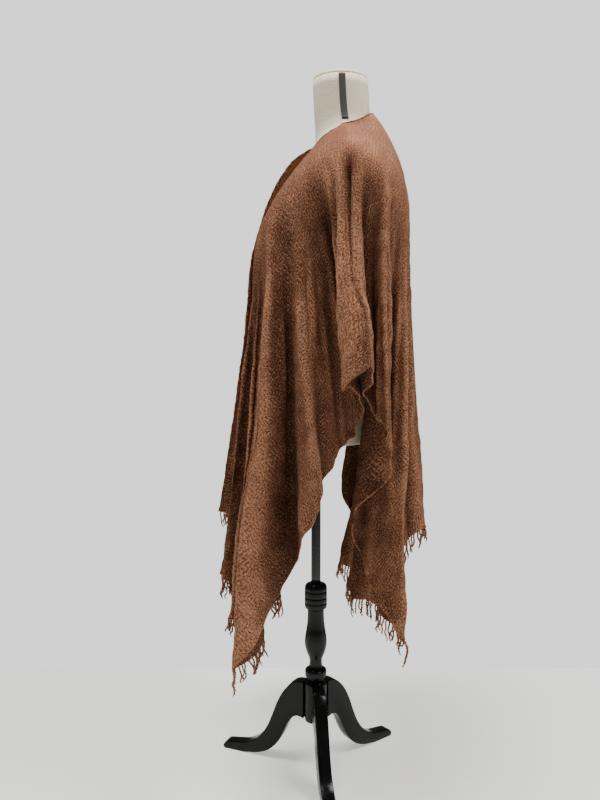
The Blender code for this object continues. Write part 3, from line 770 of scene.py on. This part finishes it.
class WrapForm(bpy.types.PropertyGroup):
    """Colours of the dress form."""

    linen: FloatVectorProperty(
        name="Linen", description="The cover of the dress form", subtype="COLOR", size=3, min=0, max=1,
        default=rgb("#D8CBB0")[:3],
    )
    tape: FloatVectorProperty(
        name="Tape", description="The tape up each side of the neck", subtype="COLOR", size=3, min=0, max=1,
        default=rgb("#1B1A1A")[:3],
    )


class WrapStand(bpy.types.PropertyGroup):
    """Colours of the stand."""

    lacquer: FloatVectorProperty(
        name="Lacquer", description="The turned and cut wooden pieces", subtype="COLOR", size=3, min=0, max=1,
        default=rgb("#0B0A0B")[:3],
    )
    pole: FloatVectorProperty(
        name="Pole", description="The steel pole", subtype="COLOR", size=3, min=0, max=1,
        default=rgb("#1A1A1B")[:3],
    )


class WrapStage(bpy.types.PropertyGroup):
    """Colours and light of the studio."""

    floor: FloatVectorProperty(
        name="Floor", description="The floor's colour", subtype="COLOR", size=3, min=0, max=1,
        default=rgb("#F2F1EC")[:3],
    )
    wall: FloatVectorProperty(
        name="Wall", description="The colour all round", subtype="COLOR", size=3, min=0, max=1,
        default=rgb("#CBD0CC")[:3],
    )
    power: FloatProperty(name="Light", description="The strength of the lamps", default=1.0, min=0, max=10)
    fill: FloatProperty(name="Fill", description="The strength of the room's own light", default=0.17, min=0, max=10)
    backdrop: FloatProperty(
        name="Backdrop", description="How bright the room itself looks", default=2.3, min=0, max=10,
    )


def heather_wool(name, yarn=False, lightness=0.0):
    """Brushed bouclé wool, woven of heathered brown yarns: matt, with flecks of tan and of near black
    that run with the ribs, up in one patch and across in the next, and smoother on the shoulders.
    A yarn has no flat map of its own. The lightness moves its tone towards tan."""
    cloth = bpy.context.scene.wrap_cloth
    made, tree, main = new_material(
        name, Roughness=0.95, IOR=1.5, Sheen_Weight=0.13, Sheen_Roughness=0.5,
        Sheen_Tint=rgb("#C98F68"), Specular_IOR_Level=0.15,
    )
    colours = [(*c, 1.0) for c in (cloth.dark, cloth.middle, cloth.light)]
    where = (
        add_node(tree, "TexCoord").outputs["Object"] if yarn
        else add_node(tree, "UVMap", uv_map="flat").outputs["UV"]
    )
    patches = add_node(tree, "TexNoise", {"Vector": where, "Scale": per_mm(45.0), "Detail": 2.0, "Roughness": 0.6})
    chosen = add_node(tree, "MapRange", {"Value": patches.outputs["Fac"], "From Min": 0.46, "From Max": 0.54})
    # Flecks of 2.6 mm by 4 mm, a little larger than the real ones, so that they show.
    flecks, ribs = [], []
    for stretch, axis, pitch in (((1.0, 0.62, 1.0), "X", 5.0), ((0.62, 1.0, 1.0), "Y", 7.5)):
        along = add_node(tree, "Mapping", {"Vector": where, "Scale": stretch})
        flecks.append(add_node(tree, "TexNoise", {
            "Vector": along.outputs[0], "Scale": per_mm(2.6), "Detail": 3.0, "Roughness": 0.68,
        }).outputs["Fac"])
        ribs.append(add_node(tree, "TexWave", {
            "Vector": where, "Scale": per_mm(pitch) * WAVE_TURN, "Distortion": 1.1, "Detail": 2.0, "Detail Scale": 2.5,
        }, bands_direction=axis).outputs["Fac"])
    fleck = add_node(tree, "Mix", {0: chosen.outputs[0], 2: flecks[0], 3: flecks[1]}, data_type="FLOAT").outputs[0]
    rib = add_node(tree, "Mix", {0: chosen.outputs[0], 2: ribs[0], 3: ribs[1]}, data_type="FLOAT").outputs[0]
    fibres = add_node(
        tree, "TexNoise", {"Vector": where, "Scale": per_mm(1.6), "Detail": 3.0, "Roughness": 0.7}
    ).outputs["Fac"]
    # Each pattern sways about a half, so with half of all the shares taken off the tone stays
    # centred. It swings less near the neck, where the cloth lies smooth.
    shares = ((fibres, 0.45), (fleck, 1.75), (rib, 0.10), (patches.outputs["Fac"], 0.30))
    tone = -sum(share for _, share in shares) / 2
    for pattern, share in shares:
        tone = add_node(tree, "Math", {0: pattern, 1: share, 2: tone}, operation="MULTIPLY_ADD").outputs[0]
    swing = 1.0
    if not yarn:
        from_neck = add_node(tree, "VectorMath", {0: where, 1: (0.0, BACK_LENGTH, 0.0)}, operation="DISTANCE")
        swing = add_node(tree, "MapRange", {
            "Value": from_neck.outputs["Value"], "From Min": 0.10, "From Max": 0.24, "To Min": 0.35,
        }).outputs[0]
    tone = add_node(tree, "Math", {0: tone, 1: swing, 2: 0.5}, operation="MULTIPLY_ADD").outputs[0]
    if not yarn:
        # The lamps alone leave the folds flatter than they look in the photograph, so hollows are
        # coloured darker and ridges lighter.
        raised = add_node(tree, "Attribute", attribute_name="relief").outputs["Fac"]
        painted_fold_shade = add_node(tree, "MapRange", {
            "Value": raised, "From Min": -RELIEF_HEIGHT, "From Max": RELIEF_HEIGHT,
            "To Min": PAINTED_FOLD_SHADE[0], "To Max": PAINTED_FOLD_SHADE[1],
        })
        tone = add_node(tree, "Math", {0: tone, 1: painted_fold_shade.outputs[0]}, operation="ADD").outputs[0]
    low = add_node(tree, "MapRange", {"Value": tone, "From Min": 0.24 - lightness, "From Max": 0.50 - lightness})
    high = add_node(tree, "MapRange", {"Value": tone, "From Min": 0.50 - lightness, "From Max": 0.78 - lightness})
    colour = add_node(tree, "Mix", {0: low.outputs[0], 6: colours[0], 7: colours[1]}, data_type="RGBA")
    colour = add_node(tree, "Mix", {0: high.outputs[0], 6: colour.outputs[2], 7: colours[2]}, data_type="RGBA")
    tree.links.new(colour.outputs[2], main.inputs["Base Color"])
    height = add_node(tree, "Math", {0: rib, 1: 0.22, 2: tone}, operation="MULTIPLY_ADD")
    bump = add_node(tree, "Bump", {"Height": height.outputs[0], "Strength": 0.75, "Distance": 0.0016})
    tree.links.new(bump.outputs[0], main.inputs["Normal"])
    return made


def linen_cover():
    """Plain woven linen stretched over the form: matt cream with slubs along and across."""
    made, tree, main = new_material(
        "woven_linen", Roughness=0.85, IOR=1.5, Sheen_Weight=0.15, Sheen_Roughness=0.4, Specular_IOR_Level=0.3
    )
    where = add_node(tree, "TexCoord").outputs["Object"]
    base = (*bpy.context.scene.wrap_form.linen, 1.0)
    # Threads of 1.6 mm, coarser than such linen's, so that they show.
    up = add_node(tree, "Mapping", {"Vector": where, "Scale": (1.0, 1.0, 0.12)})
    over = add_node(tree, "Mapping", {"Vector": where, "Scale": (0.12, 0.12, 1.0)})
    threads_up = add_node(tree, "TexNoise", {"Vector": up.outputs[0], "Scale": per_mm(1.6), "Detail": 2.0})
    threads_over = add_node(tree, "TexNoise", {"Vector": over.outputs[0], "Scale": per_mm(1.6), "Detail": 2.0})
    woven = add_node(tree, "Math", {0: threads_up.outputs["Fac"], 1: threads_over.outputs["Fac"]}, operation="ADD")
    shade = add_node(tree, "MapRange", {"Value": woven.outputs[0], "From Min": 0.75, "From Max": 1.25})
    darker = tuple(c * 0.80 for c in base[:3]) + (1.0,)
    colour = add_node(tree, "Mix", {0: shade.outputs[0], 6: darker, 7: base}, data_type="RGBA")
    tree.links.new(colour.outputs[2], main.inputs["Base Color"])
    bump = add_node(tree, "Bump", {"Height": woven.outputs[0], "Strength": 0.5, "Distance": 0.0005})
    tree.links.new(bump.outputs[0], main.inputs["Normal"])
    return made


def cotton_tape():
    """Black twill tape: matt, with fine diagonal ribs."""
    made, tree, main = new_material("twill_tape", Roughness=0.75, IOR=1.5, Sheen_Weight=0.2)
    where = add_node(tree, "TexCoord").outputs["Object"]
    base = (*bpy.context.scene.wrap_form.tape, 1.0)
    # Ribs of 1.8 mm, coarser than such tape's, so that they show.
    twill = add_node(
        tree, "TexWave", {"Vector": where, "Scale": per_mm(1.8) * WAVE_TURN, "Distortion": 0.6},
        bands_direction="DIAGONAL",
    )
    lighter = tuple(min(1.0, c * 1.9 + 0.004) for c in base[:3]) + (1.0,)
    colour = add_node(tree, "Mix", {0: twill.outputs["Fac"], 6: base, 7: lighter}, data_type="RGBA")
    tree.links.new(colour.outputs[2], main.inputs["Base Color"])
    bump = add_node(tree, "Bump", {"Height": twill.outputs["Fac"], "Strength": 0.5, "Distance": 0.0003})
    tree.links.new(bump.outputs[0], main.inputs["Normal"])
    return made


def black_lacquer():
    """Turned wood under black lacquer: near black, glossy, with the grain telegraphing faintly."""
    made, tree, main = new_material(
        "lacquered_wood", IOR=1.52, Coat_Weight=0.12, Coat_Roughness=0.12, Specular_IOR_Level=0.1
    )
    where = add_node(tree, "TexCoord").outputs["Object"]
    base = (*bpy.context.scene.wrap_stand.lacquer, 1.0)
    grain_at = add_node(tree, "Mapping", {"Vector": where, "Scale": (1.0, 1.0, 0.08)})
    grain = add_node(tree, "TexNoise", {"Vector": grain_at.outputs[0], "Scale": per_mm(3.0), "Detail": 4.0})
    wear = add_node(tree, "TexNoise", {"Vector": where, "Scale": per_mm(22.0), "Detail": 5.0, "Roughness": 0.6})
    warmer = tuple(c * 1.8 + 0.002 for c in base[:3]) + (1.0,)
    colour = add_node(tree, "Mix", {0: grain.outputs["Fac"], 6: base, 7: warmer}, data_type="RGBA")
    tree.links.new(colour.outputs[2], main.inputs["Base Color"])
    dull = add_node(tree, "MapRange", {
        "Value": wear.outputs["Fac"], "From Min": 0.35, "From Max": 0.7, "To Min": 0.16, "To Max": 0.34,
    })
    tree.links.new(dull.outputs[0], main.inputs["Roughness"])
    bump = add_node(tree, "Bump", {"Height": grain.outputs["Fac"], "Strength": 0.25, "Distance": 0.0002})
    tree.links.new(bump.outputs[0], main.inputs["Normal"])
    return made


def black_steel():
    """Steel tube, powder coated black: satin with a fine orange peel."""
    made, tree, main = new_material("coated_steel", Metallic=0.3, IOR=1.5)
    where = add_node(tree, "TexCoord").outputs["Object"]
    base = (*bpy.context.scene.wrap_stand.pole, 1.0)
    peel = add_node(tree, "TexNoise", {"Vector": where, "Scale": per_mm(1.5), "Detail": 2.0})
    rubbed = add_node(tree, "TexNoise", {"Vector": where, "Scale": per_mm(30.0), "Detail": 4.0})
    lighter = tuple(c * 1.6 + 0.002 for c in base[:3]) + (1.0,)
    colour = add_node(tree, "Mix", {0: rubbed.outputs["Fac"], 6: base, 7: lighter}, data_type="RGBA")
    tree.links.new(colour.outputs[2], main.inputs["Base Color"])
    dull = add_node(tree, "MapRange", {
        "Value": rubbed.outputs["Fac"], "From Min": 0.3, "From Max": 0.7, "To Min": 0.32, "To Max": 0.48,
    })
    tree.links.new(dull.outputs[0], main.inputs["Roughness"])
    bump = add_node(tree, "Bump", {"Height": peel.outputs["Fac"], "Strength": 0.2, "Distance": 0.0002})
    tree.links.new(bump.outputs[0], main.inputs["Normal"])
    return made


# What one step makes and a later one needs: the form's skin, and each panel's rows and columns.
MADE = {}


class WRAP_OT_dress_form(bpy.types.Operator):
    """Makes the dress form with its linen cover, its neck cap and its tapes"""

    bl_idname = "wrap.dress_form"
    bl_label = "Dress form"

    def execute(self, context):
        linen = linen_cover()
        knots = [row[0] for row in FORM_SECTIONS]
        levels = np.concatenate([np.linspace(a, b, 4, endpoint=False) for a, b in zip(knots, knots[1:])])
        rings = [form_ring(z) for z in np.append(levels, knots[-1])]
        bm = lofted(rings)
        centred = bm.copy()
        bmesh.ops.translate(centred, verts=centred.verts, vec=(-POLE_AT[0], -POLE_AT[1], 0))
        MADE["centred_form"] = BVHTree.FromBMesh(centred)
        centred.free()
        new_piece("dress_form_body", bm, linen, "linen", "form_torso")

        neck = form_ring(knots[-1])
        middle = (neck.max(0) + neck.min(0)) / 2
        cap = []
        for z, share in ((1.3803, 0.990), (1.3825, 0.992), (1.3850, 0.975), (1.3872, 0.935), (1.3892, 0.86),
                         (1.3906, 0.72), (1.3915, 0.50), (1.3920, 0.22)):
            ring = middle + (neck - middle) * share
            ring[:, 2] = z
            cap.append(ring)
        new_piece("dress_form_neck_cap", lofted(cap), linen, "linen", "form_neck_cap")

        tape = cotton_tape()
        for name, side in (("left", 1), ("right", -1)):
            rings = []
            for z in np.linspace(*TAPE_RUN, 30):
                skin = form_ring(float(z), 720)
                skin = skin[(skin[:, 0] - POLE_AT[0]) * side > 0]
                skin = skin[np.argsort(skin[:, 1])]
                centre = float(np.mean([form_ring(float(z))[:, 1].max(), form_ring(float(z))[:, 1].min()]))
                ring = []
                for width, lift in ((-1, 0), (-0.5, 0), (0, 0), (0.5, 0), (1, 0), (1, 0.7), (0.85, 1), (0.5, 1),
                                    (0, 1), (-0.5, 1), (-0.85, 1), (-1, 0.7)):
                    y = centre + width * TAPE_WIDTH / 2
                    x = float(np.interp(y, skin[:, 1], skin[:, 0]))
                    ring.append((x + side * (TAPE_GAP + lift * TAPE_WALL), y, z))
                rings.append(ring)
            new_piece("neck_tape_" + name, lofted(rings), tape, "black_tape", "form_tape_" + name)
        return {"FINISHED"}


class WRAP_OT_stand(bpy.types.Operator):
    """Makes the pole, the turned column and the three legs"""

    bl_idname = "wrap.stand"
    bl_label = "Stand"

    def execute(self, context):
        lacquer = black_lacquer()
        new_piece("pole", turned(POLE), black_steel(), "black_steel", "stand_pole")
        for name, profile in (("collar", COLLAR), ("column", COLUMN), ("ring", RING), ("hub", HUB)):
            new_piece("turned_" + name, turned(profile), lacquer, "black_lacquer", "stand_" + name)
        for name, azimuth in zip(("left", "back", "front"), LEG_AZIMUTHS):
            new_piece("leg_" + name, leg_board(azimuth), lacquer, "black_lacquer", "stand_leg_" + name)
        return {"FINISHED"}


class WRAP_OT_panels(bpy.types.Operator):
    """Makes the two woven panels of the wrap"""

    bl_idname = "wrap.panels"
    bl_label = "Woven panels"

    def execute(self, context):
        wool = heather_wool("heathered_boucle_wool")
        for name, folds, forward, creases, side, phase in (
            ("left", LEFT_FOLDS, OPENING_FORWARD[0], LEFT_CREASES, 1, 0.7),
            ("right", right_folds(), OPENING_FORWARD[1], RIGHT_CREASES, -1, 2.9),
        ):
            across, along, grid = panel_grid(folds, forward, creases, MADE["centred_form"], phase)
            # Where the fronts hang flat at the opening most of the painted shade and highlight of their
            # folds is taken off, so their colour is nearly even.
            raised = relief(grid) * np.where(along > 0, 0.3 + 0.7 * step_between(across, 0.08, 0.20), 1.0)
            grid[..., 0] *= side
            grid += np.array([*POLE_AT, 0.0])
            rows, columns = across.shape
            bm = bmesh.new()
            bmesh.ops.create_grid(bm, x_segments=columns - 1, y_segments=rows - 1, size=0.5)
            flat = bm.loops.layers.uv.new("flat")
            height = bm.verts.layers.float.new("relief")
            spot = {v: (round((0.5 - v.co.y) * (rows - 1)), round((v.co.x + 0.5) * (columns - 1))) for v in bm.verts}
            for face in bm.faces:
                for loop in face.loops:
                    r, c = spot[loop.vert]
                    loop[flat].uv = (across[r, c], along[r, c] + BACK_LENGTH)
            for v, (r, c) in spot.items():
                v.co = grid[r, c]
                v[height] = raised[r, c]
            if side < 0:
                bmesh.ops.reverse_faces(bm, faces=bm.faces)
            made = new_piece("woven_panel_" + name, bm, wool, "heather_wool", "wrap_%s_panel" % name)
            wall = made.modifiers.new("wall", "SOLIDIFY")
            wall.thickness = WALL
            wall.offset = 0.0
            MADE[name] = (across, along, grid)
        return {"FINISHED"}


def at_bunch(chance, i, count, run):
    """Where along the hem the tips of the next few strands come together."""
    return run * (i + 1.2 + chance.uniform(-0.4, 0.4)) / count


class WRAP_OT_fringes(bpy.types.Operator):
    """Makes the twisted fringe along each hem"""

    bl_idname = "wrap.fringes"
    bl_label = "Fringes"

    def execute(self, context):
        sizes = context.scene.wrap_fringe
        wool = heather_wool("twisted_wool_yarn", yarn=True, lightness=0.07)
        for seed, (side, end) in enumerate((s, e) for s in ("left", "right") for e in ("front", "back")):
            chance = np.random.RandomState(40 + seed)
            grid = MADE[side][2]
            hem, above = (grid[0], grid[4]) if end == "front" else (grid[-1], grid[-5])
            fall = unit(hem - above)
            line = unit(np.gradient(hem, axis=0))
            run = np.concatenate([[0], np.cumsum(np.linalg.norm(np.diff(hem, axis=0), axis=1))])
            count = round(run[-1] / sizes.spacing)
            curve = yarn_curve("fringe_" + end + "_" + side, sizes.yarn)
            bunch = 0
            for i in range(count):
                if bunch == 0:
                    bunch, towards = chance.randint(2, 5), at_bunch(chance, i, count, run[-1])
                bunch -= 1
                at = run[-1] * (i + 0.5 + chance.uniform(-0.3, 0.3)) / count
                lean = (towards - at) * chance.uniform(0.3, 0.9)
                root, drop, level = (
                    np.array([np.interp(at, run, part[:, k]) for k in range(3)]) for part in (hem, fall, line)
                )
                out = unit(np.cross(level, drop))
                corner = i == count - 1
                long = sizes.length * (CORNER_STRAND if corner else chance.uniform(0.72, 1.12))
                kick, curl, phase = chance.uniform(-0.20, 0.20), chance.uniform(0.0010, 0.0030), chance.uniform(0, 6.28)
                pitch, turn = chance.uniform(0.007, 0.010), chance.uniform(0.017, 0.028)
                twist = 1 if chance.uniform() < 0.5 else -1
                thick = sizes.yarn * (CORNER_THICK if corner else chance.uniform(0.85, 1.15))
                for yarn in (0, 1):
                    points, radii = [], []
                    for f in np.linspace(0, 1, STRAND_STOPS):
                        s = f * (long + STRAND_ROOT) - STRAND_ROOT
                        around = twist * 2 * math.pi * s / pitch + phase + yarn * math.pi
                        bend = 2 * math.pi * s / turn + phase
                        hang = unit(drop * (1 - f) + np.array([0.0, 0.0, -1.0]) * f)
                        p = root + hang * s + level * (lean * f + curl * f * math.sin(bend))
                        p = p + out * (kick * long * f * f + curl * f * math.cos(bend))
                        past = max(0.0, f - STRAND_TIP)
                        p = p + (level * math.cos(around) + out * math.sin(around)) * thick * (0.85 + 0.9 * past)
                        points.append(p)
                        radii.append(thick / sizes.yarn * (1.0 - 0.6 * past / (1 - STRAND_TIP)))
                    add_yarn(curve, points, radii)
            yarn_piece("fringe_%s_%s_yarns" % (end, side), curve, wool, "heather_wool", "fringe_%s_%s" % (end, side))
        return {"FINISHED"}


class WRAP_OT_edges(bpy.types.Operator):
    """Makes the rolled front edges, the selvedge yarns and the pulled yarn on the shoulder"""

    bl_idname = "wrap.edges"
    bl_label = "Edges"

    def execute(self, context):
        radius = context.scene.wrap_cloth.edge_yarn
        # The selvedge yarn, and the pulled yarn that shares its material, is coloured lighter than the cloth: a painted
        # highlight along the edge.
        wool = heather_wool("wool_selvedge", yarn=True, lightness=0.12)
        # The front edge's roll is coloured darker than the cloth: painted shade along the roll.
        dark = heather_wool("rolled_wool_edge", yarn=True, lightness=-0.12)
        for side in ("left", "right"):
            across, along, grid = MADE[side]
            rolled = grid[:, 0][along[:, 0] >= ROLL_END]
            for name, line, share, look in (
                ("front_edge", rolled, ROLL_SHARE, dark), ("selvedge", grid[:, -1], 1.0, wool),
            ):
                curve = yarn_curve(name, radius)
                stop = np.arange(len(line))
                add_yarn(curve, line, share * (1 + 0.12 * np.sin(stop * 1.7) + 0.08 * np.sin(stop * 0.61)))
                yarn_piece("%s_%s" % (name, side), curve, look, "heather_wool")
        across, along, grid = MADE["left"]
        row, column = (
            int(np.abs(part - at).argmin()) for part, at in ((along[:, 0], SNAG_AT[1]), (across[0], SNAG_AT[0]))
        )
        root, out = grid[row, column], cloth_normals(grid)[row, column]
        level = unit(np.cross(out, (0.0, 0.0, 1.0)))
        up = np.cross(level, out)
        curve = yarn_curve("pulled_yarn", SNAG_YARN)
        turns = np.linspace(-SNAG_TURN, SNAG_TURN, SNAG_STOPS)
        loop = [root + out * SNAG_OUT + (level * math.sin(a) + up * math.cos(a)) * SNAG_LOOP for a in turns]
        # Both ends go down into the cloth.
        foot = root - out * 0.0005 - up * SNAG_LOOP * 0.4
        add_yarn(curve, [foot, *loop, foot], [1.0] * (SNAG_STOPS + 2))
        yarn_piece("pulled_yarn", curve, wool, "heather_wool")
        return {"FINISHED"}


class WRAP_OT_nap(bpy.types.Operator):
    """Makes the brushed fibres that stand out of the cloth"""

    bl_idname = "wrap.nap"
    bl_label = "Nap"

    def execute(self, context):
        cloth = context.scene.wrap_cloth
        wool = heather_wool("brushed_wool_fibres", yarn=True, lightness=0.02)
        for seed, (side, face) in enumerate((("left", 1), ("right", -1))):
            chance = np.random.RandomState(70 + seed)
            grid = MADE[side][2]
            rows, columns = grid.shape[:2]
            bm = bmesh.new()
            bmesh.ops.create_cone(bm, cap_ends=True, segments=3, radius1=1.0, radius2=0.0, depth=1.0)
            bmesh.ops.remove_doubles(bm, verts=bm.verts, dist=WELD)
            for _ in range(cloth.nap_doublings):
                bmesh.ops.duplicate(bm, geom=bm.verts[:] + bm.edges[:] + bm.faces[:])
            # Each fibre is a tip and the three points round its root.
            ends = [[tip] + [e.other_vert(tip) for e in tip.link_edges] for tip in bm.verts if tip.co.z > 0]
            count = len(ends)
            shape = np.array([[v.co for v in four] for four in ends]) + (0.0, 0.0, 0.5)
            r, c = chance.uniform(0, rows - 1.001, count), chance.uniform(0, columns - 1.001, count)
            i, j, f, g = r.astype(int), c.astype(int), (r % 1)[:, None], (c % 1)[:, None]
            here, beyond = (grid[i, k] * (1 - f) + grid[i + 1, k] * f for k in (j, j + 1))
            root = here * (1 - g) + beyond * g
            out = cloth_normals(grid)[i, j] * face
            out = out * np.where(chance.uniform(size=count) < NAP_OUTER, 1.0, -1.0)[:, None]
            drop = unit(np.gradient(grid, axis=0)[i, j])
            down, aside = (chance.uniform(-NAP_LEAN, NAP_LEAN, (count, 1)) for _ in range(2))
            lean = unit(out + drop * down + np.cross(out, drop) * aside)
            one = unit(np.cross(lean, drop + 0.01))
            two = np.cross(lean, one)
            long = cloth.nap_length * chance.uniform(0.5, 1.2, (count, 1))
            places = root[:, None] + out[:, None] * WALL * NAP_ROOT + (
                one[:, None] * shape[:, :, :1] * NAP_FIBRE + two[:, None] * shape[:, :, 1:2] * NAP_FIBRE
                + (lean * long)[:, None] * shape[:, :, 2:]
            )
            for four, spots in zip(ends, places):
                for v, p in zip(four, spots):
                    v.co = p
            bmesh.ops.recalc_face_normals(bm, faces=bm.faces)
            new_piece("nap_" + side, bm, wool, "heather_wool")
        return {"FINISHED"}


class WRAP_OT_stage(bpy.types.Operator):
    """Makes the floor, the light and the camera"""

    bl_idname = "wrap.stage"
    bl_label = "Stage"

    def execute(self, context):
        colours = context.scene.wrap_stage
        bm = bmesh.new()
        bmesh.ops.create_grid(bm, x_segments=2, y_segments=2, size=FLOOR_HALF)
        bmesh.ops.translate(bm, verts=bm.verts, vec=(FLOOR_HALF - FLOOR_BEHIND, 0, 0))
        mesh = bpy.data.meshes.new("floor")
        bm.to_mesh(mesh)
        bm.free()
        floor = bpy.data.objects.new("floor", mesh)
        context.scene.collection.objects.link(floor)
        tint = (*colours.floor, 1.0)
        paint, _, _ = new_material(
            "matt_floor", Base_Color=tint, Roughness=0.9, Emission_Color=tint, Emission_Strength=FLOOR_GLOW
        )
        mesh.materials.append(paint)

        # The room is brighter to look at than the light that it gives, as a lit backdrop is.
        world = bpy.data.worlds.new("studio")
        world.use_nodes = True
        room = world.node_tree
        given = room.nodes["Background"]
        given.inputs["Color"].default_value = (*colours.wall, 1.0)
        given.inputs["Strength"].default_value = colours.fill
        seen = add_node(room, "Background", {"Color": (*colours.wall, 1.0), "Strength": colours.backdrop})
        looked_at = add_node(room, "LightPath").outputs["Is Camera Ray"]
        both = add_node(room, "MixShader", {0: looked_at, 1: given.outputs[0], 2: seen.outputs[0]})
        room.links.new(both.outputs[0], room.nodes["World Output"].inputs["Surface"])
        context.scene.world = world
        for name, (place, aim, size, watts) in LAMPS.items():
            lamp = bpy.data.lights.new(name, "AREA")
            lamp.size = size
            lamp.energy = watts * colours.power
            lit = bpy.data.objects.new(name, lamp)
            lit.location = place
            lit.rotation_euler = (Vector(aim) - Vector(place)).to_track_quat("-Z", "Y").to_euler()
            context.scene.collection.objects.link(lit)

        camera = bpy.data.cameras.new("camera")
        camera.sensor_width = 36.0
        camera.lens = CAMERA_LENS
        camera.clip_end = 50.0
        eye = bpy.data.objects.new("camera", camera)
        down = math.radians(CAMERA_DOWN)
        eye.location = CAMERA_AT
        eye.rotation_euler = Vector((-math.cos(down), 0, -math.sin(down))).to_track_quat("-Z", "Y").to_euler()
        context.scene.collection.objects.link(eye)
        context.scene.camera = eye
        return {"FINISHED"}


class WRAP_PT_pieces(bpy.types.Panel):
    """Lists the steps and their sizes"""

    bl_label = "Wrap on a dress form"
    bl_idname = "WRAP_PT_pieces"
    bl_space_type = "VIEW_3D"
    bl_region_type = "UI"
    bl_category = "Wrap"

    def draw(self, context):
        for group in GROUPS:
            box = self.layout.box()
            holder = getattr(context.scene, group)
            for name in holder.bl_rna.properties.keys():
                if name not in ("rna_type", "name"):
                    box.prop(holder, name)
        for step in STEPS:
            self.layout.operator(step.bl_idname)


GROUPS = {
    "wrap_cloth": WrapCloth, "wrap_fringe": WrapFringe, "wrap_form": WrapForm, "wrap_stand": WrapStand,
    "wrap_stage": WrapStage,
}
STEPS = (
    WRAP_OT_dress_form, WRAP_OT_stand, WRAP_OT_panels, WRAP_OT_fringes, WRAP_OT_edges, WRAP_OT_nap, WRAP_OT_stage,
)


def register():
    for kind in (*GROUPS.values(), *STEPS, WRAP_PT_pieces):
        bpy.utils.register_class(kind)
    for name, kind in GROUPS.items():
        setattr(bpy.types.Scene, name, PointerProperty(type=kind))


def unregister():
    for name in GROUPS:
        delattr(bpy.types.Scene, name)
    for kind in (WRAP_PT_pieces, *reversed(STEPS), *reversed(GROUPS.values())):
        bpy.utils.unregister_class(kind)


def main():
    register()
    bpy.ops.wrap.dress_form()
    bpy.ops.wrap.stand()
    bpy.ops.wrap.panels()
    bpy.ops.wrap.fringes()
    bpy.ops.wrap.edges()
    bpy.ops.wrap.nap()
    bpy.ops.wrap.stage()
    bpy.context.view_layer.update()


if __name__ == "__main__":
    main()
